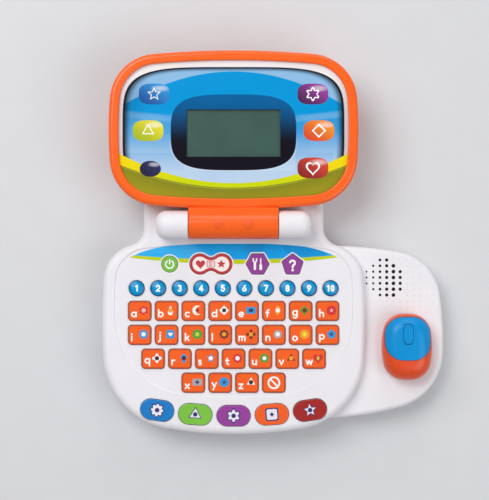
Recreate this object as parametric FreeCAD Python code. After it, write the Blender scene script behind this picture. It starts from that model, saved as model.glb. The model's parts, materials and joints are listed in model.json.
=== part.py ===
import FreeCAD, Part
import math
import os
from collections import namedtuple

Vector = FreeCAD.Vector

# A toy laptop computer: white base with keyboard, mouse pad and carrying handle,
# orange lid and captive mouse.
# Millimetres. X to the right, Y to the back, Z up. The lid lies open flat behind the base.
# The origin is under the middle of the whole toy, on the surface that it stands on.

# Plan sizes of the keyboard body, counted from the hinge axis towards the front
BODY_HALF_W = 111.0
HINGE_TO_FRONT = 176.0
HINGE_TO_WIDEST = 80.0
HINGE_TO_BACK = 7.5
BODY_BACK_R = 420.0
BODY_SIDE_R = 500.0
BODY_FRONT_R = 350.0
BODY_BACK_CORNER_R = 32.0
BODY_FRONT_CORNER_R = 64.0

# Mouse pad wing on the right of the body
PAD_REACH = 66.7
PAD_HALF_W = 104.0
PAD_TO_FRONT = 163.0
PAD_TO_WIDEST = 98.0
PAD_TO_BACK = 16.6
PAD_BACK_R = 400.0
PAD_SIDE_R = 300.0
PAD_FRONT_R = 250.0
PAD_BACK_CORNER_R = 42.0
PAD_FRONT_CORNER_R = 50.0

# Neck under the hinge and handle loop behind it
NECK_HALF_W = 76.0
NECK_OVERLAP = 60.0
NECK_BACK = 19.0
NECK_CORNER_R = 9.0
FLARE_R = 15.0
HANDLE_BACK = 56.0
HANDLE_BAR = 15.0
HANDLE_ARM = 15.0
HANDLE_HEIGHT = 20.0
HANDLE_CORNER_R = 26.0
HANDLE_EDGE_R = 5.5
GRIP_GAP_CORNER_R = 9.0

# Heights and walls of the base
FOOT_DROP = 1.5
PART_Z = 14.0
BASE_TOP = 32.0
PAD_TOP = 22.0
WALL = 2.2
EDGE_R = 6.0
PAD_EDGE_R = 4.0
BOTTOM_EDGE_R = 4.5

# Shallow keyboard field in the top of the body
FIELD_DEPTH = 0.8
FIELD_EDGE_R = 0.7
FIELD_HALF_W = 100.4
FIELD_TO_WIDEST = 67.4
FIELD_BACK = 52.8
FIELD_FRONT = 77.7
FIELD_BACK_R = 600.0
FIELD_SIDE_R = 350.0
FIELD_FRONT_R = 500.0
FIELD_BACK_CORNER_R = 28.0
FIELD_FRONT_CORNER_R = 68.0

# Keys: fit in the shell, travel and retaining flange
KEY_PROUD = 1.2
KEY_TRAVEL = 1.2
KEY_GAP = 0.35
KEY_EDGE_R = 0.8
FLANGE_OVER = 0.8
FLANGE_T = 1.2
FLANGE_GAP = 0.35
STEM_INSET = 2.5
STEM_H = 1.0
STEM_GAP = 0.3

# Letter keys in centred rows
LETTER_ROWS = (
    ("a", "b", "c", "d", "e", "f", "g", "h"),
    ("i", "j", "k", "l", "m", "n", "o", "p"),
    ("q", "r", "s", "t", "u", "v", "w"),
    ("x", "y", "z", "clear"),
)
LETTER_W = 19.4
LETTER_H = 16.6
LETTER_CORNER_R = 3.4
LETTER_PITCH_X = 22.55
LETTER_PITCH_Y = 20.1
LETTER_FIRST_ROW = 72.1

# Number keys: domes moulded on one strip
NUMBER_COUNT = 10
NUMBER_R = 6.5
NUMBER_PITCH = 18.12
NUMBER_ROW = 53.0
NUMBER_DOME = 1.3
NUMBER_WEB_W = 4.0

# Function keys behind the number row
FUNCTION_ROW = 32.7
FUNCTION_H = 17.2
POWER_R = 6.8
POWER_X = -53.8
NAME_W = 35.6
NAME_WAIST = 10.8
NAME_X = -19.1
TOOLS_X = 20.2
TOOLS_SIDES = 6
HELP_X = 49.6
HELP_SIDES = 5
HELP_ACROSS = 15.4
HELP_DROP = 0.8
POLYGON_CORNER_R = 1.6

# Mode keys in an arc along the front edge
MODE_NAMES = ("blue", "green", "purple", "orange", "red")
MODE_W = 28.4
MODE_H = 17.6
MODE_ROW = 160.0
MODE_ARC_R = 437.0
MODE_PITCH = 32.2

# Silicone key mat and main board under the keys
MAT_T = 0.9
DOME_R = 3.6
DOME_H = 0.5
BOARD_T = 1.6
BOARD_INSET = 17.0
BOARD_FRONT_GAP = 6.0
BOARD_POSTS = ((-76.0, 36.0), (76.0, 36.0), (-70.0, 131.0), (70.0, 131.0))
BOARD_POST_R = 2.6

# Hinge
BARREL_R = 12.0
BARREL_END = 64.8
BARREL_END_R = 9.0
TAB_HALF_W = 37.4
TAB_SIDE_GAP = 0.5
TAB_NOTCH_GAP = 0.6
TAB_EDGE_R = 1.0
PIN_R = 2.0
PIN_SEAT_GAP = 0.02
PIN_RUN_GAP = 0.05
PIN_IN_TAB = 14.0
PIN_IN_BARREL = 16.0
PIN_END_GAP = 0.5
PLUG_R = 4.1
PLUG_X = 12.5
PLUG_DEPTH = 4.0
PLUG_GAP = 0.1

# Lid
LID_GAP = 1.6
LID_T = 19.0
LID_OFFSET = 13.0
LID_HALF_W = 104.0
LID_HALF_H = 66.0
LID_END_R = 750.0
LID_SIDE_R = 330.0
LID_CORNER_R = 40.0
LID_FRONT_T = 10.5
LID_WALL = 2.2
LID_FRONT_EDGE_R = 3.6
LID_BACK_EDGE_R = 7.0
LID_STOP_GAP = 0.3
LID_STOP_W = 16.0
LID_STOP_D = 3.0
LID_STOP_X = 52.0

# Display in the lid
RIM_W = 8.4
RIM_LIP_R = 1.2
BEZEL_T = 1.6
PANEL_RECESS = 3.0
PANEL_T = 1.5
PANEL_TUCK = 2.0
PANEL_EAR_GAP = 0.2
LCD_W = 78.0
LCD_H = 39.4
LCD_CENTRE = 76.0
LENS_T = 1.0
LENS_DEPTH = 0.4
LENS_GAP = 0.2
LCD_MARGIN = 4.0
LCD_T = 2.8
LCD_GAP = 0.2
PANEL_POST_R = 3.0
PANEL_POSTS = ((-70.0, -34.0), (70.0, -34.0), (-70.0, 34.0), (70.0, 34.0))
BADGE_W = 46.0
BADGE_H = 30.0
BADGE_T = 1.2
BADGE_DEPTH = 0.9
BADGE_EDGE_R = 0.25
BADGE_GAP = 0.15

# Screws
SCREW_R = 1.5
SCREW_HEAD_R = 2.8
SCREW_HEAD_H = 1.8
SCREW_GAP = 0.1
SCREW_BOSS_R = 4.0
SCREW_SEAT = 3.0
SCREW_BITE = 9.0
SCREW_RECESS = 0.5
BASE_SCREWS = (
    (-62.0, -8.0), (62.0, -8.0), (-99.0, 75.0), (99.0, 75.0),
    (-85.0, 143.0), (85.0, 143.0), (160.0, 49.0), (146.0, 144.0),
)
LID_SCREW_INSET = 9.5
LID_SCREW_Y = 24.0
LID_SCREW_BITE = 5.0
LID_SCREW_SINK = 1.2

# Battery box
CELL_R = 7.25
CELL_L = 49.2
CELL_NUB_R = 2.75
CELL_NUB_H = 1.3
CELL_COUNT = 3
CELL_GAP = 0.6
CONTACT_T = 0.5
CONTACT_W = 9.0
CONTACT_GAP = 0.3
BOX_WALL = 1.8
BOX_ROW = 88.0
DOOR_T = 2.6
DOOR_LEDGE = 2.5
DOOR_GAP = 0.3
DOOR_CORNER_R = 4.0
DOOR_TONGUE = 14.0

# Speaker
SPEAKER_X = 126.8
SPEAKER_ROW = 44.0
SPEAKER_R = 19.0
SPEAKER_RIM_T = 2.0
SPEAKER_CONE_R = 14.0
SPEAKER_CONE_H = 4.0
SPEAKER_MAGNET_R = 9.0
SPEAKER_MAGNET_H = 3.0
SPEAKER_GAP = 0.3
SPEAKER_RING_T = 1.6
SPEAKER_RING_H = 3.0
GRILLE_PITCH_X = 5.7
GRILLE_PITCH_Y = 4.95
GRILLE_RADII = (0.8, 1.0, 1.2, 1.4, 1.6, 1.4)
GRILLE_ROWS = ((2, 3), (1, 4), (0, 5), (0, 5), (0, 5), (1, 5), (2, 4))

# Mouse on the pad
MOUSE_X = 145.9
MOUSE_ROW = 102.3
MOUSE_HALF_W = 21.0
MOUSE_HALF_L = 27.8
MOUSE_CORNER_R = 17.0
MOUSE_SIDE_R = 70.0
MOUSE_END_R = 60.0
MOUSE_H = 21.0
MOUSE_EDGE_R = 13.0
MOUSE_LIFT = 0.4
MOUSE_FOOT_R = 1.2
MOUSE_TRAVEL = 4.0
BUTTON_HALF_W = 19.0
BUTTON_HALF_L = 18.0
BUTTON_BACK_GAP = 2.6
BUTTON_CORNER_R = 14.5
BUTTON_SEAT = 9.0
BUTTON_TRAVEL = 1.2
BUTTON_GAP = 0.35
BUTTON_STOP_GAP = 0.3
WHEEL_W = 8.0
WHEEL_L = 16.4
WHEEL_H = 0.7
WHEEL_BACK_GAP = 6.0
WHEEL_SINK = 3.0
WHEEL_CORNER_R = 3.9
STEM_R = 5.0
STEM_RUN_GAP = 0.4
SLIDE_T = 1.8
SLIDE_GAP = 0.3
SLIDE_MARGIN = 5.0
RAIL_T = 1.6
RETAINER_R = 9.0
RETAINER_T = 1.6
RETAINER_SEAT_R = 3.0

# Feet
FOOT_R = 6.5
FOOT_SEAT = 1.0
FOOT_EDGE_R = 0.5
FOOT_GAP = 0.05
FEET = ((-36.0, -5.0), (36.0, -5.0), (-78.0, 138.0), (78.0, 138.0), (154.0, 96.0))

# Places and heights that follow from the sizes above
BODY_X = -PAD_REACH / 2
LID_REACH = LID_OFFSET + 2 * LID_HALF_H
HINGE_Y = (HINGE_TO_FRONT - LID_REACH) / 2
HINGE_Z = BASE_TOP + LID_GAP + LID_T / 2
LID_FACE = HINGE_Z + LID_T / 2
LID_BACK = HINGE_Z - LID_T / 2
LID_PART = LID_FACE - LID_FRONT_T
PANEL_FACE = LID_FACE - PANEL_RECESS
PANEL_LOW = PANEL_FACE - PANEL_T
FIELD_Z = BASE_TOP - FIELD_DEPTH
CEILING_Z = FIELD_Z - WALL
PAD_CEILING = PAD_TOP - WALL
SHELL_LOW = FOOT_DROP
FLOOR_Z = SHELL_LOW + WALL
FLANGE_TOP = CEILING_Z - FLANGE_GAP
FLANGE_LOW = FLANGE_TOP - FLANGE_T
STEM_LOW = FLANGE_LOW - STEM_H
DOME_TOP = STEM_LOW - KEY_TRAVEL - STEM_GAP
MAT_TOP = DOME_TOP - DOME_H
BOARD_TOP = MAT_TOP - MAT_T
BOARD_LOW = BOARD_TOP - BOARD_T
HANDLE_LOW = PART_Z - HANDLE_HEIGHT / 2
HANDLE_TOP = PART_Z + HANDLE_HEIGHT / 2
TOLERANCE = 1e-4

Outline = namedtuple(
    "Outline",
    "x y half_w back front back_r side_r front_r back_corner_r front_corner_r",
)

BODY = Outline(
    BODY_X, HINGE_Y - HINGE_TO_WIDEST, BODY_HALF_W,
    HINGE_TO_WIDEST - HINGE_TO_BACK, HINGE_TO_FRONT - HINGE_TO_WIDEST,
    BODY_BACK_R, BODY_SIDE_R, BODY_FRONT_R, BODY_BACK_CORNER_R, BODY_FRONT_CORNER_R,
)
PAD = Outline(
    BODY_X + BODY_HALF_W + PAD_REACH - PAD_HALF_W, HINGE_Y - PAD_TO_WIDEST, PAD_HALF_W,
    PAD_TO_WIDEST - PAD_TO_BACK, PAD_TO_FRONT - PAD_TO_WIDEST,
    PAD_BACK_R, PAD_SIDE_R, PAD_FRONT_R, PAD_BACK_CORNER_R, PAD_FRONT_CORNER_R,
)
FIELD = Outline(
    BODY_X, HINGE_Y - FIELD_TO_WIDEST, FIELD_HALF_W, FIELD_BACK, FIELD_FRONT,
    FIELD_BACK_R, FIELD_SIDE_R, FIELD_FRONT_R, FIELD_BACK_CORNER_R, FIELD_FRONT_CORNER_R,
)
LID = Outline(
    BODY_X, HINGE_Y + LID_OFFSET + LID_HALF_H, LID_HALF_W, LID_HALF_H, LID_HALF_H,
    LID_END_R, LID_SIDE_R, LID_END_R, LID_CORNER_R, LID_CORNER_R,
)
MOUSE = Outline(
    BODY_X + MOUSE_X, HINGE_Y - MOUSE_ROW, MOUSE_HALF_W, MOUSE_HALF_L, MOUSE_HALF_L,
    MOUSE_END_R, MOUSE_SIDE_R, MOUSE_END_R, MOUSE_CORNER_R, MOUSE_CORNER_R,
)
BUTTON = Outline(
    MOUSE.x, MOUSE.y + MOUSE_HALF_L - BUTTON_BACK_GAP - BUTTON_HALF_L, BUTTON_HALF_W,
    BUTTON_HALF_L, BUTTON_HALF_L,
    MOUSE_END_R, MOUSE_SIDE_R, MOUSE_END_R, BUTTON_CORNER_R, BUTTON_CORNER_R,
)


# Plan outlines made of eight touching arcs

def inset(outline, distance):
    """The same outline, a wall's thickness further in."""
    radii = [value - distance for value in outline[2:]]
    return Outline(outline.x, outline.y, *radii)


def corner_centre(end_centre, end_r, side_centre, side_r, corner_r):
    """Centre of the round corner that touches an end arc and a right side arc from inside."""
    end_reach = end_r - corner_r
    side_reach = side_r - corner_r
    span = side_centre - end_centre
    along = (end_reach ** 2 - side_reach ** 2 + span.Length ** 2) / (2 * span.Length)
    across = math.sqrt(end_reach ** 2 - along ** 2)
    unit = span / span.Length
    normal = Vector(-unit.y, unit.x, 0)
    foot = end_centre + unit * along
    return max(foot + normal * across, foot - normal * across, key=lambda point: point.x)


def on_circle(centre, towards, radius):
    """Point of a circle on the ray from its centre through another point."""
    ray = towards - centre
    return centre + ray / ray.Length * radius


def arc(centre, start, end):
    """Arc edge of less than a half turn between two points of a circle."""
    radius = (start - centre).Length
    middle = on_circle(centre, (start + end) / 2, radius)
    return Part.Arc(start, middle, end).toShape()


def mirrored(point, x):
    return Vector(2 * x - point.x, point.y, point.z)


def outline_face(outline, z):
    """Flat face inside an outline."""
    back = Vector(outline.x, outline.y + outline.back - outline.back_r, z)
    side = Vector(outline.x + outline.half_w - outline.side_r, outline.y, z)
    front = Vector(outline.x, outline.y - outline.front + outline.front_r, z)
    back_corner = corner_centre(back, outline.back_r, side, outline.side_r, outline.back_corner_r)
    front_corner = corner_centre(front, outline.front_r, side, outline.side_r, outline.front_corner_r)
    back_touch = on_circle(back, back_corner, outline.back_r)
    side_back_touch = on_circle(side, back_corner, outline.side_r)
    side_front_touch = on_circle(side, front_corner, outline.side_r)
    front_touch = on_circle(front, front_corner, outline.front_r)
    right = [
        (back_corner, back_touch, side_back_touch),
        (side, side_back_touch, side_front_touch),
        (front_corner, side_front_touch, front_touch),
    ]
    edges = [arc(back, mirrored(back_touch, outline.x), back_touch)]
    edges += [arc(*step) for step in right]
    edges.append(arc(front, front_touch, mirrored(front_touch, outline.x)))
    for step in reversed(right):
        centre, start, end = [mirrored(point, outline.x) for point in step]
        edges.append(arc(centre, end, start))
    return Part.Face(Part.Wire(edges))


def slab(outline, z_low, z_high):
    """Solid between two heights with an outline for its plan."""
    return outline_face(outline, z_low).extrude(Vector(0, 0, z_high - z_low))


# Common solids

def box(x, y, z, width, depth, height):
    """Box centred on x and y that stands on z."""
    return Part.makeBox(width, depth, height, Vector(x - width / 2, y - depth / 2, z))


def post(x, y, z_low, z_high, radius):
    return Part.makeCylinder(radius, z_high - z_low, Vector(x, y, z_low))


def round_box(x, y, z_low, z_high, width, depth, radius):
    """Box with rounded upright edges."""
    solid = box(x, y, z_low, width, depth, z_high - z_low)
    return solid.makeFillet(radius, upright_edges(solid))


def upright_edges(solid):
    return [edge for edge in solid.Edges if is_upright(edge)]


def is_upright(edge):
    step = edge.lastVertex().Point - edge.firstVertex().Point
    return abs(step.x) < TOLERANCE and abs(step.y) < TOLERANCE and abs(step.z) > TOLERANCE


def level_edges(solid, z):
    """Edges that lie flat at a height."""
    return [edge for edge in solid.Edges if all(abs(p.z - z) < TOLERANCE for p in edge.discretize(3))]


def soften(solid, z, radius):
    """Round all edges at a height."""
    return solid.makeFillet(radius, level_edges(solid, z))


def fused(first, *others):
    return first.fuse(list(others)).removeSplitter()


def at_base(offset_x, from_hinge):
    """Place in the base from a distance to its middle line and one from the hinge towards the front."""
    return BODY_X + offset_x, HINGE_Y - from_hinge


def save(name, *solids):
    shape = solids[0] if len(solids) == 1 else Part.makeCompound(list(solids))
    shape.exportStep(os.path.join("parts", name + ".step"))


# Base shells

def body_and_neck(wall, z_low, z_high):
    """Keyboard body with the neck flaring out of its back, at a distance inside the outer skin."""
    body = slab(inset(BODY, wall), z_low, z_high)
    half_w = NECK_HALF_W - wall
    neck = round_box(
        BODY_X, HINGE_Y + (NECK_BACK - NECK_OVERLAP) / 2, z_low, z_high,
        2 * half_w, NECK_BACK + NECK_OVERLAP - 2 * wall, NECK_CORNER_R - wall,
    )
    solid = fused(body, neck)
    flare_edges = [
        edge for edge in upright_edges(solid)
        if abs(abs(edge.firstVertex().X - BODY_X) - half_w) < TOLERANCE and edge.firstVertex().Y < HINGE_Y
    ]
    return solid.makeFillet(FLARE_R + wall, flare_edges)


def handle_loop(wall, z_low, z_high):
    """Handle behind the neck: a rounded block round the finger gap, at a distance inside its skin."""
    depth = HANDLE_BACK + NECK_OVERLAP
    outer = round_box(
        BODY_X, HINGE_Y + (HANDLE_BACK - NECK_OVERLAP) / 2, z_low, z_high,
        2 * (NECK_HALF_W - wall), depth - 2 * wall, HANDLE_CORNER_R - wall,
    )
    return outer.cut(grip_gap(wall, z_low, z_high))


def grip_gap(wall, z_low, z_high):
    """Finger gap between the neck and the handle bar, with a wall's thickness around it."""
    depth = HANDLE_BACK - HANDLE_BAR - NECK_BACK
    return round_box(
        BODY_X, HINGE_Y + NECK_BACK + depth / 2, z_low, z_high,
        2 * (NECK_HALF_W - HANDLE_ARM + wall), depth + 2 * wall, GRIP_GAP_CORNER_R + wall,
    )


def barrel(side):
    """Hinge barrel with a rounded outer end, on a foot of the same width."""
    inner = TAB_HALF_W + TAB_SIDE_GAP
    length = BARREL_END - inner
    start = Vector(BODY_X + side * inner, HINGE_Y, HINGE_Z)
    tube = Part.makeCylinder(BARREL_R, length, start, Vector(side, 0, 0))
    outer_x = BODY_X + side * BARREL_END
    end_edges = [edge for edge in tube.Edges if abs(edge.CenterOfMass.x - outer_x) < TOLERANCE]
    tube = tube.makeFillet(BARREL_END_R, end_edges)
    middle_x = BODY_X + side * (inner + length / 2)
    foot = box(middle_x, HINGE_Y, CEILING_Z, length, 2 * BARREL_R, HINGE_Z - CEILING_Z)
    foot_edges = [edge for edge in upright_edges(foot) if abs(edge.CenterOfMass.x - outer_x) < TOLERANCE]
    return fused(tube, foot.makeFillet(BARREL_END_R, foot_edges))


def hinge_pin(side, radius, length_in_tab, length_in_barrel):
    """Pin across the gap between the tab and a barrel."""
    start = Vector(BODY_X + side * (TAB_HALF_W - length_in_tab), HINGE_Y, HINGE_Z)
    length = length_in_tab + TAB_SIDE_GAP + length_in_barrel
    return Part.makeCylinder(radius, length, start, Vector(side, 0, 0))


def lid_stop(side):
    """Low ledge on the neck that carries the open lid."""
    height = LID_BACK - LID_STOP_GAP - CEILING_Z
    y = HINGE_Y + LID_OFFSET + LID_STOP_D / 2
    return box(BODY_X + side * LID_STOP_X, y, CEILING_Z, LID_STOP_W, LID_STOP_D, height)


def grille_holes():
    """Speaker holes in the pad, growing in size from left to right."""
    x, y = at_base(SPEAKER_X, SPEAKER_ROW)
    left = x - GRILLE_PITCH_X * (len(GRILLE_RADII) - 1) / 2
    back = y + GRILLE_PITCH_Y * (len(GRILLE_ROWS) - 1) / 2
    holes = []
    for row, (first, last) in enumerate(GRILLE_ROWS):
        for column in range(first, last + 1):
            place = (left + column * GRILLE_PITCH_X, back - row * GRILLE_PITCH_Y)
            holes.append(post(*place, PAD_CEILING - WALL, PAD_TOP + WALL, GRILLE_RADII[column]))
    return holes


def stem_opening():
    """Opening in the pad in which the mouse stem moves both ways."""
    size = 2 * (STEM_R + MOUSE_TRAVEL + STEM_RUN_GAP)
    return round_box(MOUSE.x, MOUSE.y, PAD_CEILING - WALL, PAD_TOP + WALL, size, size, STEM_R)


def slide_size():
    """Width and depth of the cross slide: it always covers the opening in the pad."""
    opening = 2 * (STEM_R + MOUSE_TRAVEL + STEM_RUN_GAP)
    return opening + 2 * MOUSE_TRAVEL, opening + 2 * SLIDE_MARGIN


def slide_rails():
    """Two rails under the pad that guide the cross slide sideways."""
    width, depth = slide_size()
    height = SLIDE_T + 2 * SLIDE_GAP
    offset = depth / 2 + SLIDE_GAP + RAIL_T / 2
    rails = []
    for side in (-1, 1):
        y = MOUSE.y + side * offset
        rails.append(box(MOUSE.x, y, PAD_CEILING - height, width, RAIL_T, height + WALL / 2))
    return rails


def speaker_ring():
    """Ring under the pad that centres the speaker."""
    x, y = at_base(SPEAKER_X, SPEAKER_ROW)
    inner_r = SPEAKER_R + SPEAKER_GAP
    low = PAD_CEILING - SPEAKER_RING_H
    outer = post(x, y, low, PAD_CEILING + WALL / 2, inner_r + SPEAKER_RING_T)
    return outer.cut(post(x, y, low, PAD_CEILING, inner_r))


def ceiling_at(offset_x):
    """Underside of the top shell: the pad's ceiling is lower than the body's."""
    return PAD_CEILING if offset_x > BODY_HALF_W else CEILING_Z


def base_screw_tip():
    return PART_Z + SCREW_BITE - SCREW_SEAT


def make_base_top_shell():
    skin = soften(body_and_neck(0, PART_Z, BASE_TOP), BASE_TOP, EDGE_R)
    pad = soften(slab(PAD, PART_Z, PAD_TOP), PAD_TOP, PAD_EDGE_R)
    handle = soften(handle_loop(0, PART_Z, HANDLE_TOP), HANDLE_TOP, HANDLE_EDGE_R)
    skin = fused(skin, pad, handle)
    hollow = soften(body_and_neck(WALL, PART_Z, CEILING_Z), CEILING_Z, EDGE_R - WALL)
    pad_hollow = soften(slab(inset(PAD, WALL), PART_Z, PAD_CEILING), PAD_CEILING, PAD_EDGE_R - WALL)
    handle_hollow = handle_loop(WALL, PART_Z, HANDLE_TOP - WALL)
    shell = skin.cut([hollow, pad_hollow, handle_hollow, grip_gap(0, PART_Z, BASE_TOP)])
    additions = [barrel(-1), barrel(1), lid_stop(-1), lid_stop(1), speaker_ring()]
    additions += slide_rails()
    for offset_x, from_hinge in BASE_SCREWS:
        place = at_base(offset_x, from_hinge)
        additions.append(post(*place, PART_Z, ceiling_at(offset_x) + WALL / 2, SCREW_BOSS_R))
    for offset_x, from_hinge in BOARD_POSTS:
        additions.append(post(*at_base(offset_x, from_hinge), MAT_TOP, CEILING_Z + WALL / 2, BOARD_POST_R))
    shell = fused(shell, *additions)
    field = soften(slab(FIELD, FIELD_Z, BASE_TOP + WALL), FIELD_Z, FIELD_EDGE_R)
    notch_r = BARREL_R + TAB_NOTCH_GAP
    notch_start = Vector(BODY_X - TAB_HALF_W - TAB_SIDE_GAP, HINGE_Y, HINGE_Z)
    notch = Part.makeCylinder(notch_r, 2 * (TAB_HALF_W + TAB_SIDE_GAP), notch_start, Vector(1, 0, 0))
    cuts = [field, notch, stem_opening()]
    cuts += grille_holes()
    cuts += [key.hole() for key in KEYS]
    cuts += [key.flange_room() for key in MODES]
    for side in (-1, 1):
        cuts.append(hinge_pin(side, PIN_R + PIN_SEAT_GAP, 0, PIN_IN_BARREL + PIN_END_GAP))
    for offset_x, from_hinge in BASE_SCREWS:
        place = at_base(offset_x, from_hinge)
        cuts.append(post(*place, PART_Z, base_screw_tip() + PIN_END_GAP, SCREW_R + SCREW_GAP))
    save("base_top_shell", shell.cut(cuts))


# Keys

class Key:
    """A key that travels in a hole of the top shell: cap, retaining flange and stem."""

    def __init__(self, name, place, plan, surface, turn=0.0):
        self.name = name
        self.place = place
        self.plan = plan
        self.surface = surface
        self.turn = turn

    def prism(self, grow, z_low, z_high):
        """The key's plan, grown by a distance, between two heights."""
        solid = self.plan(grow, z_high - z_low)
        solid.rotate(Vector(0, 0, 0), Vector(0, 0, 1), self.turn)
        solid.translate(Vector(*self.place, z_low))
        return solid

    def hole(self):
        return self.prism(KEY_GAP, CEILING_Z - WALL, self.surface + WALL)

    def flange_room(self):
        """Space under the shell's top in which the flange moves."""
        return self.prism(2 * KEY_GAP + FLANGE_OVER, FLANGE_LOW - KEY_TRAVEL - FLANGE_GAP, CEILING_Z)

    def solid(self):
        top = self.surface + KEY_PROUD
        cap = soften(self.prism(0, FLANGE_LOW, top), top, KEY_EDGE_R)
        flange = self.prism(KEY_GAP + FLANGE_OVER, FLANGE_LOW, FLANGE_TOP)
        stem = self.prism(-STEM_INSET, STEM_LOW, FLANGE_LOW)
        return fused(cap, flange, stem)


class DomeKey(Key):
    """A round key with a domed top."""

    def solid(self):
        edge_z = self.surface + KEY_PROUD
        ball_r = (NUMBER_R ** 2 + NUMBER_DOME ** 2) / (2 * NUMBER_DOME)
        cap = self.prism(0, FLANGE_LOW, edge_z + NUMBER_DOME)
        cap = cap.common(Part.makeSphere(ball_r, Vector(*self.place, edge_z + NUMBER_DOME - ball_r)))
        flange = self.prism(KEY_GAP + FLANGE_OVER, FLANGE_LOW, FLANGE_TOP)
        stem = self.prism(-STEM_INSET, STEM_LOW, FLANGE_LOW)
        return fused(cap, flange, stem)


def letter_plan(grow, height):
    return round_box(0, 0, 0, height, LETTER_W + 2 * grow, LETTER_H + 2 * grow, LETTER_CORNER_R + grow)


def number_plan(grow, height):
    return Part.makeCylinder(NUMBER_R + grow, height)


def power_plan(grow, height):
    return Part.makeCylinder(POWER_R + grow, height)


def name_plan(grow, height):
    """Bone shape: two round ends joined by a waist of two hollow arcs."""
    end_r = FUNCTION_H / 2
    end_x = NAME_W / 2 - end_r
    waist = NAME_WAIST / 2
    waist_r = (end_x ** 2 + waist ** 2 - end_r ** 2) / (2 * (end_r - waist))
    hollow = Vector(0, waist + waist_r, 0)
    end_centre = Vector(end_x, 0, 0)
    touch = on_circle(end_centre, hollow, end_r + grow)
    bridge = box(0, 0, 0, 2 * touch.x, 2 * touch.y, height)
    for side in (-1, 1):
        bridge = bridge.cut(Part.makeCylinder(waist_r - grow, height, hollow * side))
    ends = [Part.makeCylinder(end_r + grow, height, end_centre * side) for side in (-1, 1)]
    return fused(bridge, *ends)


def polygon_plan(sides, across):
    """Plan of a regular polygon with rounded corners that points to the back, or lies on a flat if even."""
    lean = math.pi / 2 if sides % 2 else 0.0

    def plan(grow, height):
        flat_reach = across / 2 + grow
        reach = flat_reach / math.cos(math.pi / sides)
        angles = [lean + 2 * math.pi * step / sides for step in range(sides + 1)]
        points = [Vector(reach * math.cos(angle), reach * math.sin(angle), 0) for angle in angles]
        solid = Part.Face(Part.makePolygon(points)).extrude(Vector(0, 0, height))
        return solid.makeFillet(POLYGON_CORNER_R + max(grow, 0), upright_edges(solid))

    return plan


def mode_plan(grow, height):
    """Stadium shape with half-round ends."""
    end_r = MODE_H / 2 + grow
    end_x = (MODE_W - MODE_H) / 2
    ends = [Part.makeCylinder(end_r, height, Vector(side * end_x, 0, 0)) for side in (-1, 1)]
    return fused(box(0, 0, 0, 2 * end_x, 2 * end_r, height), *ends)


def letter_keys():
    keys = []
    for row, names in enumerate(LETTER_ROWS):
        for column, name in enumerate(names):
            offset_x = (column - (len(names) - 1) / 2) * LETTER_PITCH_X
            place = at_base(offset_x, LETTER_FIRST_ROW + row * LETTER_PITCH_Y)
            keys.append(Key("key_" + name, place, letter_plan, FIELD_Z))
    return keys


def number_keys():
    keys = []
    for index in range(NUMBER_COUNT):
        offset_x = (index - (NUMBER_COUNT - 1) / 2) * NUMBER_PITCH
        keys.append(DomeKey("number", at_base(offset_x, NUMBER_ROW), number_plan, FIELD_Z))
    return keys


def function_keys():
    hexagon = polygon_plan(TOOLS_SIDES, FUNCTION_H)
    pentagon = polygon_plan(HELP_SIDES, HELP_ACROSS)
    return [
        Key("power_key", at_base(POWER_X, FUNCTION_ROW), power_plan, FIELD_Z),
        Key("name_key", at_base(NAME_X, FUNCTION_ROW), name_plan, FIELD_Z),
        Key("tools_key", at_base(TOOLS_X, FUNCTION_ROW), hexagon, FIELD_Z),
        Key("help_key", at_base(HELP_X, FUNCTION_ROW + HELP_DROP), pentagon, FIELD_Z),
    ]


def mode_keys():
    keys = []
    for index, name in enumerate(MODE_NAMES):
        angle = (index - (len(MODE_NAMES) - 1) / 2) * MODE_PITCH / MODE_ARC_R
        offset_x = MODE_ARC_R * math.sin(angle)
        from_hinge = MODE_ROW - MODE_ARC_R * (1 - math.cos(angle))
        place = at_base(offset_x, from_hinge)
        keys.append(Key(name + "_mode_key", place, mode_plan, BASE_TOP, math.degrees(angle)))
    return keys


NUMBERS = number_keys()
MODES = mode_keys()
SINGLE_KEYS = letter_keys() + function_keys() + MODES
KEYS = NUMBERS + SINGLE_KEYS


def make_keys():
    for key in SINGLE_KEYS:
        save(key.name, key.solid())


def make_number_keys():
    """Ten domes on one moulded strip."""
    length = (NUMBER_COUNT - 1) * NUMBER_PITCH
    web = box(*at_base(0, NUMBER_ROW), FLANGE_LOW, length, NUMBER_WEB_W, FLANGE_T)
    save("number_keys", fused(web, *[key.solid() for key in NUMBERS]))


# Board and key mat

def board_outline():
    """Plan of the board: it follows the body, with a straight back in front of the neck."""
    body = inset(BODY, BOARD_INSET)
    return body._replace(front=BODY.front - BOARD_FRONT_GAP)


def board_sheet(z_low, z_high):
    sheet = slab(board_outline(), z_low, z_high)
    clearances = [
        post(*at_base(offset_x, from_hinge), z_low, z_high, SCREW_BOSS_R + KEY_GAP)
        for offset_x, from_hinge in BASE_SCREWS
    ]
    return sheet.cut(clearances)


def make_main_board():
    save("main_board", board_sheet(BOARD_LOW, BOARD_TOP))


def make_key_mat():
    """Silicone sheet with a low dome under each key, drawn at its pressed height."""
    domes = [post(*key.place, MAT_TOP - MAT_T / 2, DOME_TOP, DOME_R) for key in KEYS]
    save("key_mat", fused(board_sheet(BOARD_TOP, MAT_TOP), *domes))


# Bottom of the base

def box_size():
    """Inside width and depth of the battery box."""
    width = CELL_L + CELL_NUB_H + 2 * (CONTACT_T + CONTACT_GAP)
    depth = CELL_COUNT * 2 * CELL_R + (CELL_COUNT + 1) * CELL_GAP
    return width, depth


def box_top():
    """Inside ceiling of the battery box."""
    return SHELL_LOW + DOOR_T + 2 * CELL_R + 2 * CELL_GAP


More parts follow.
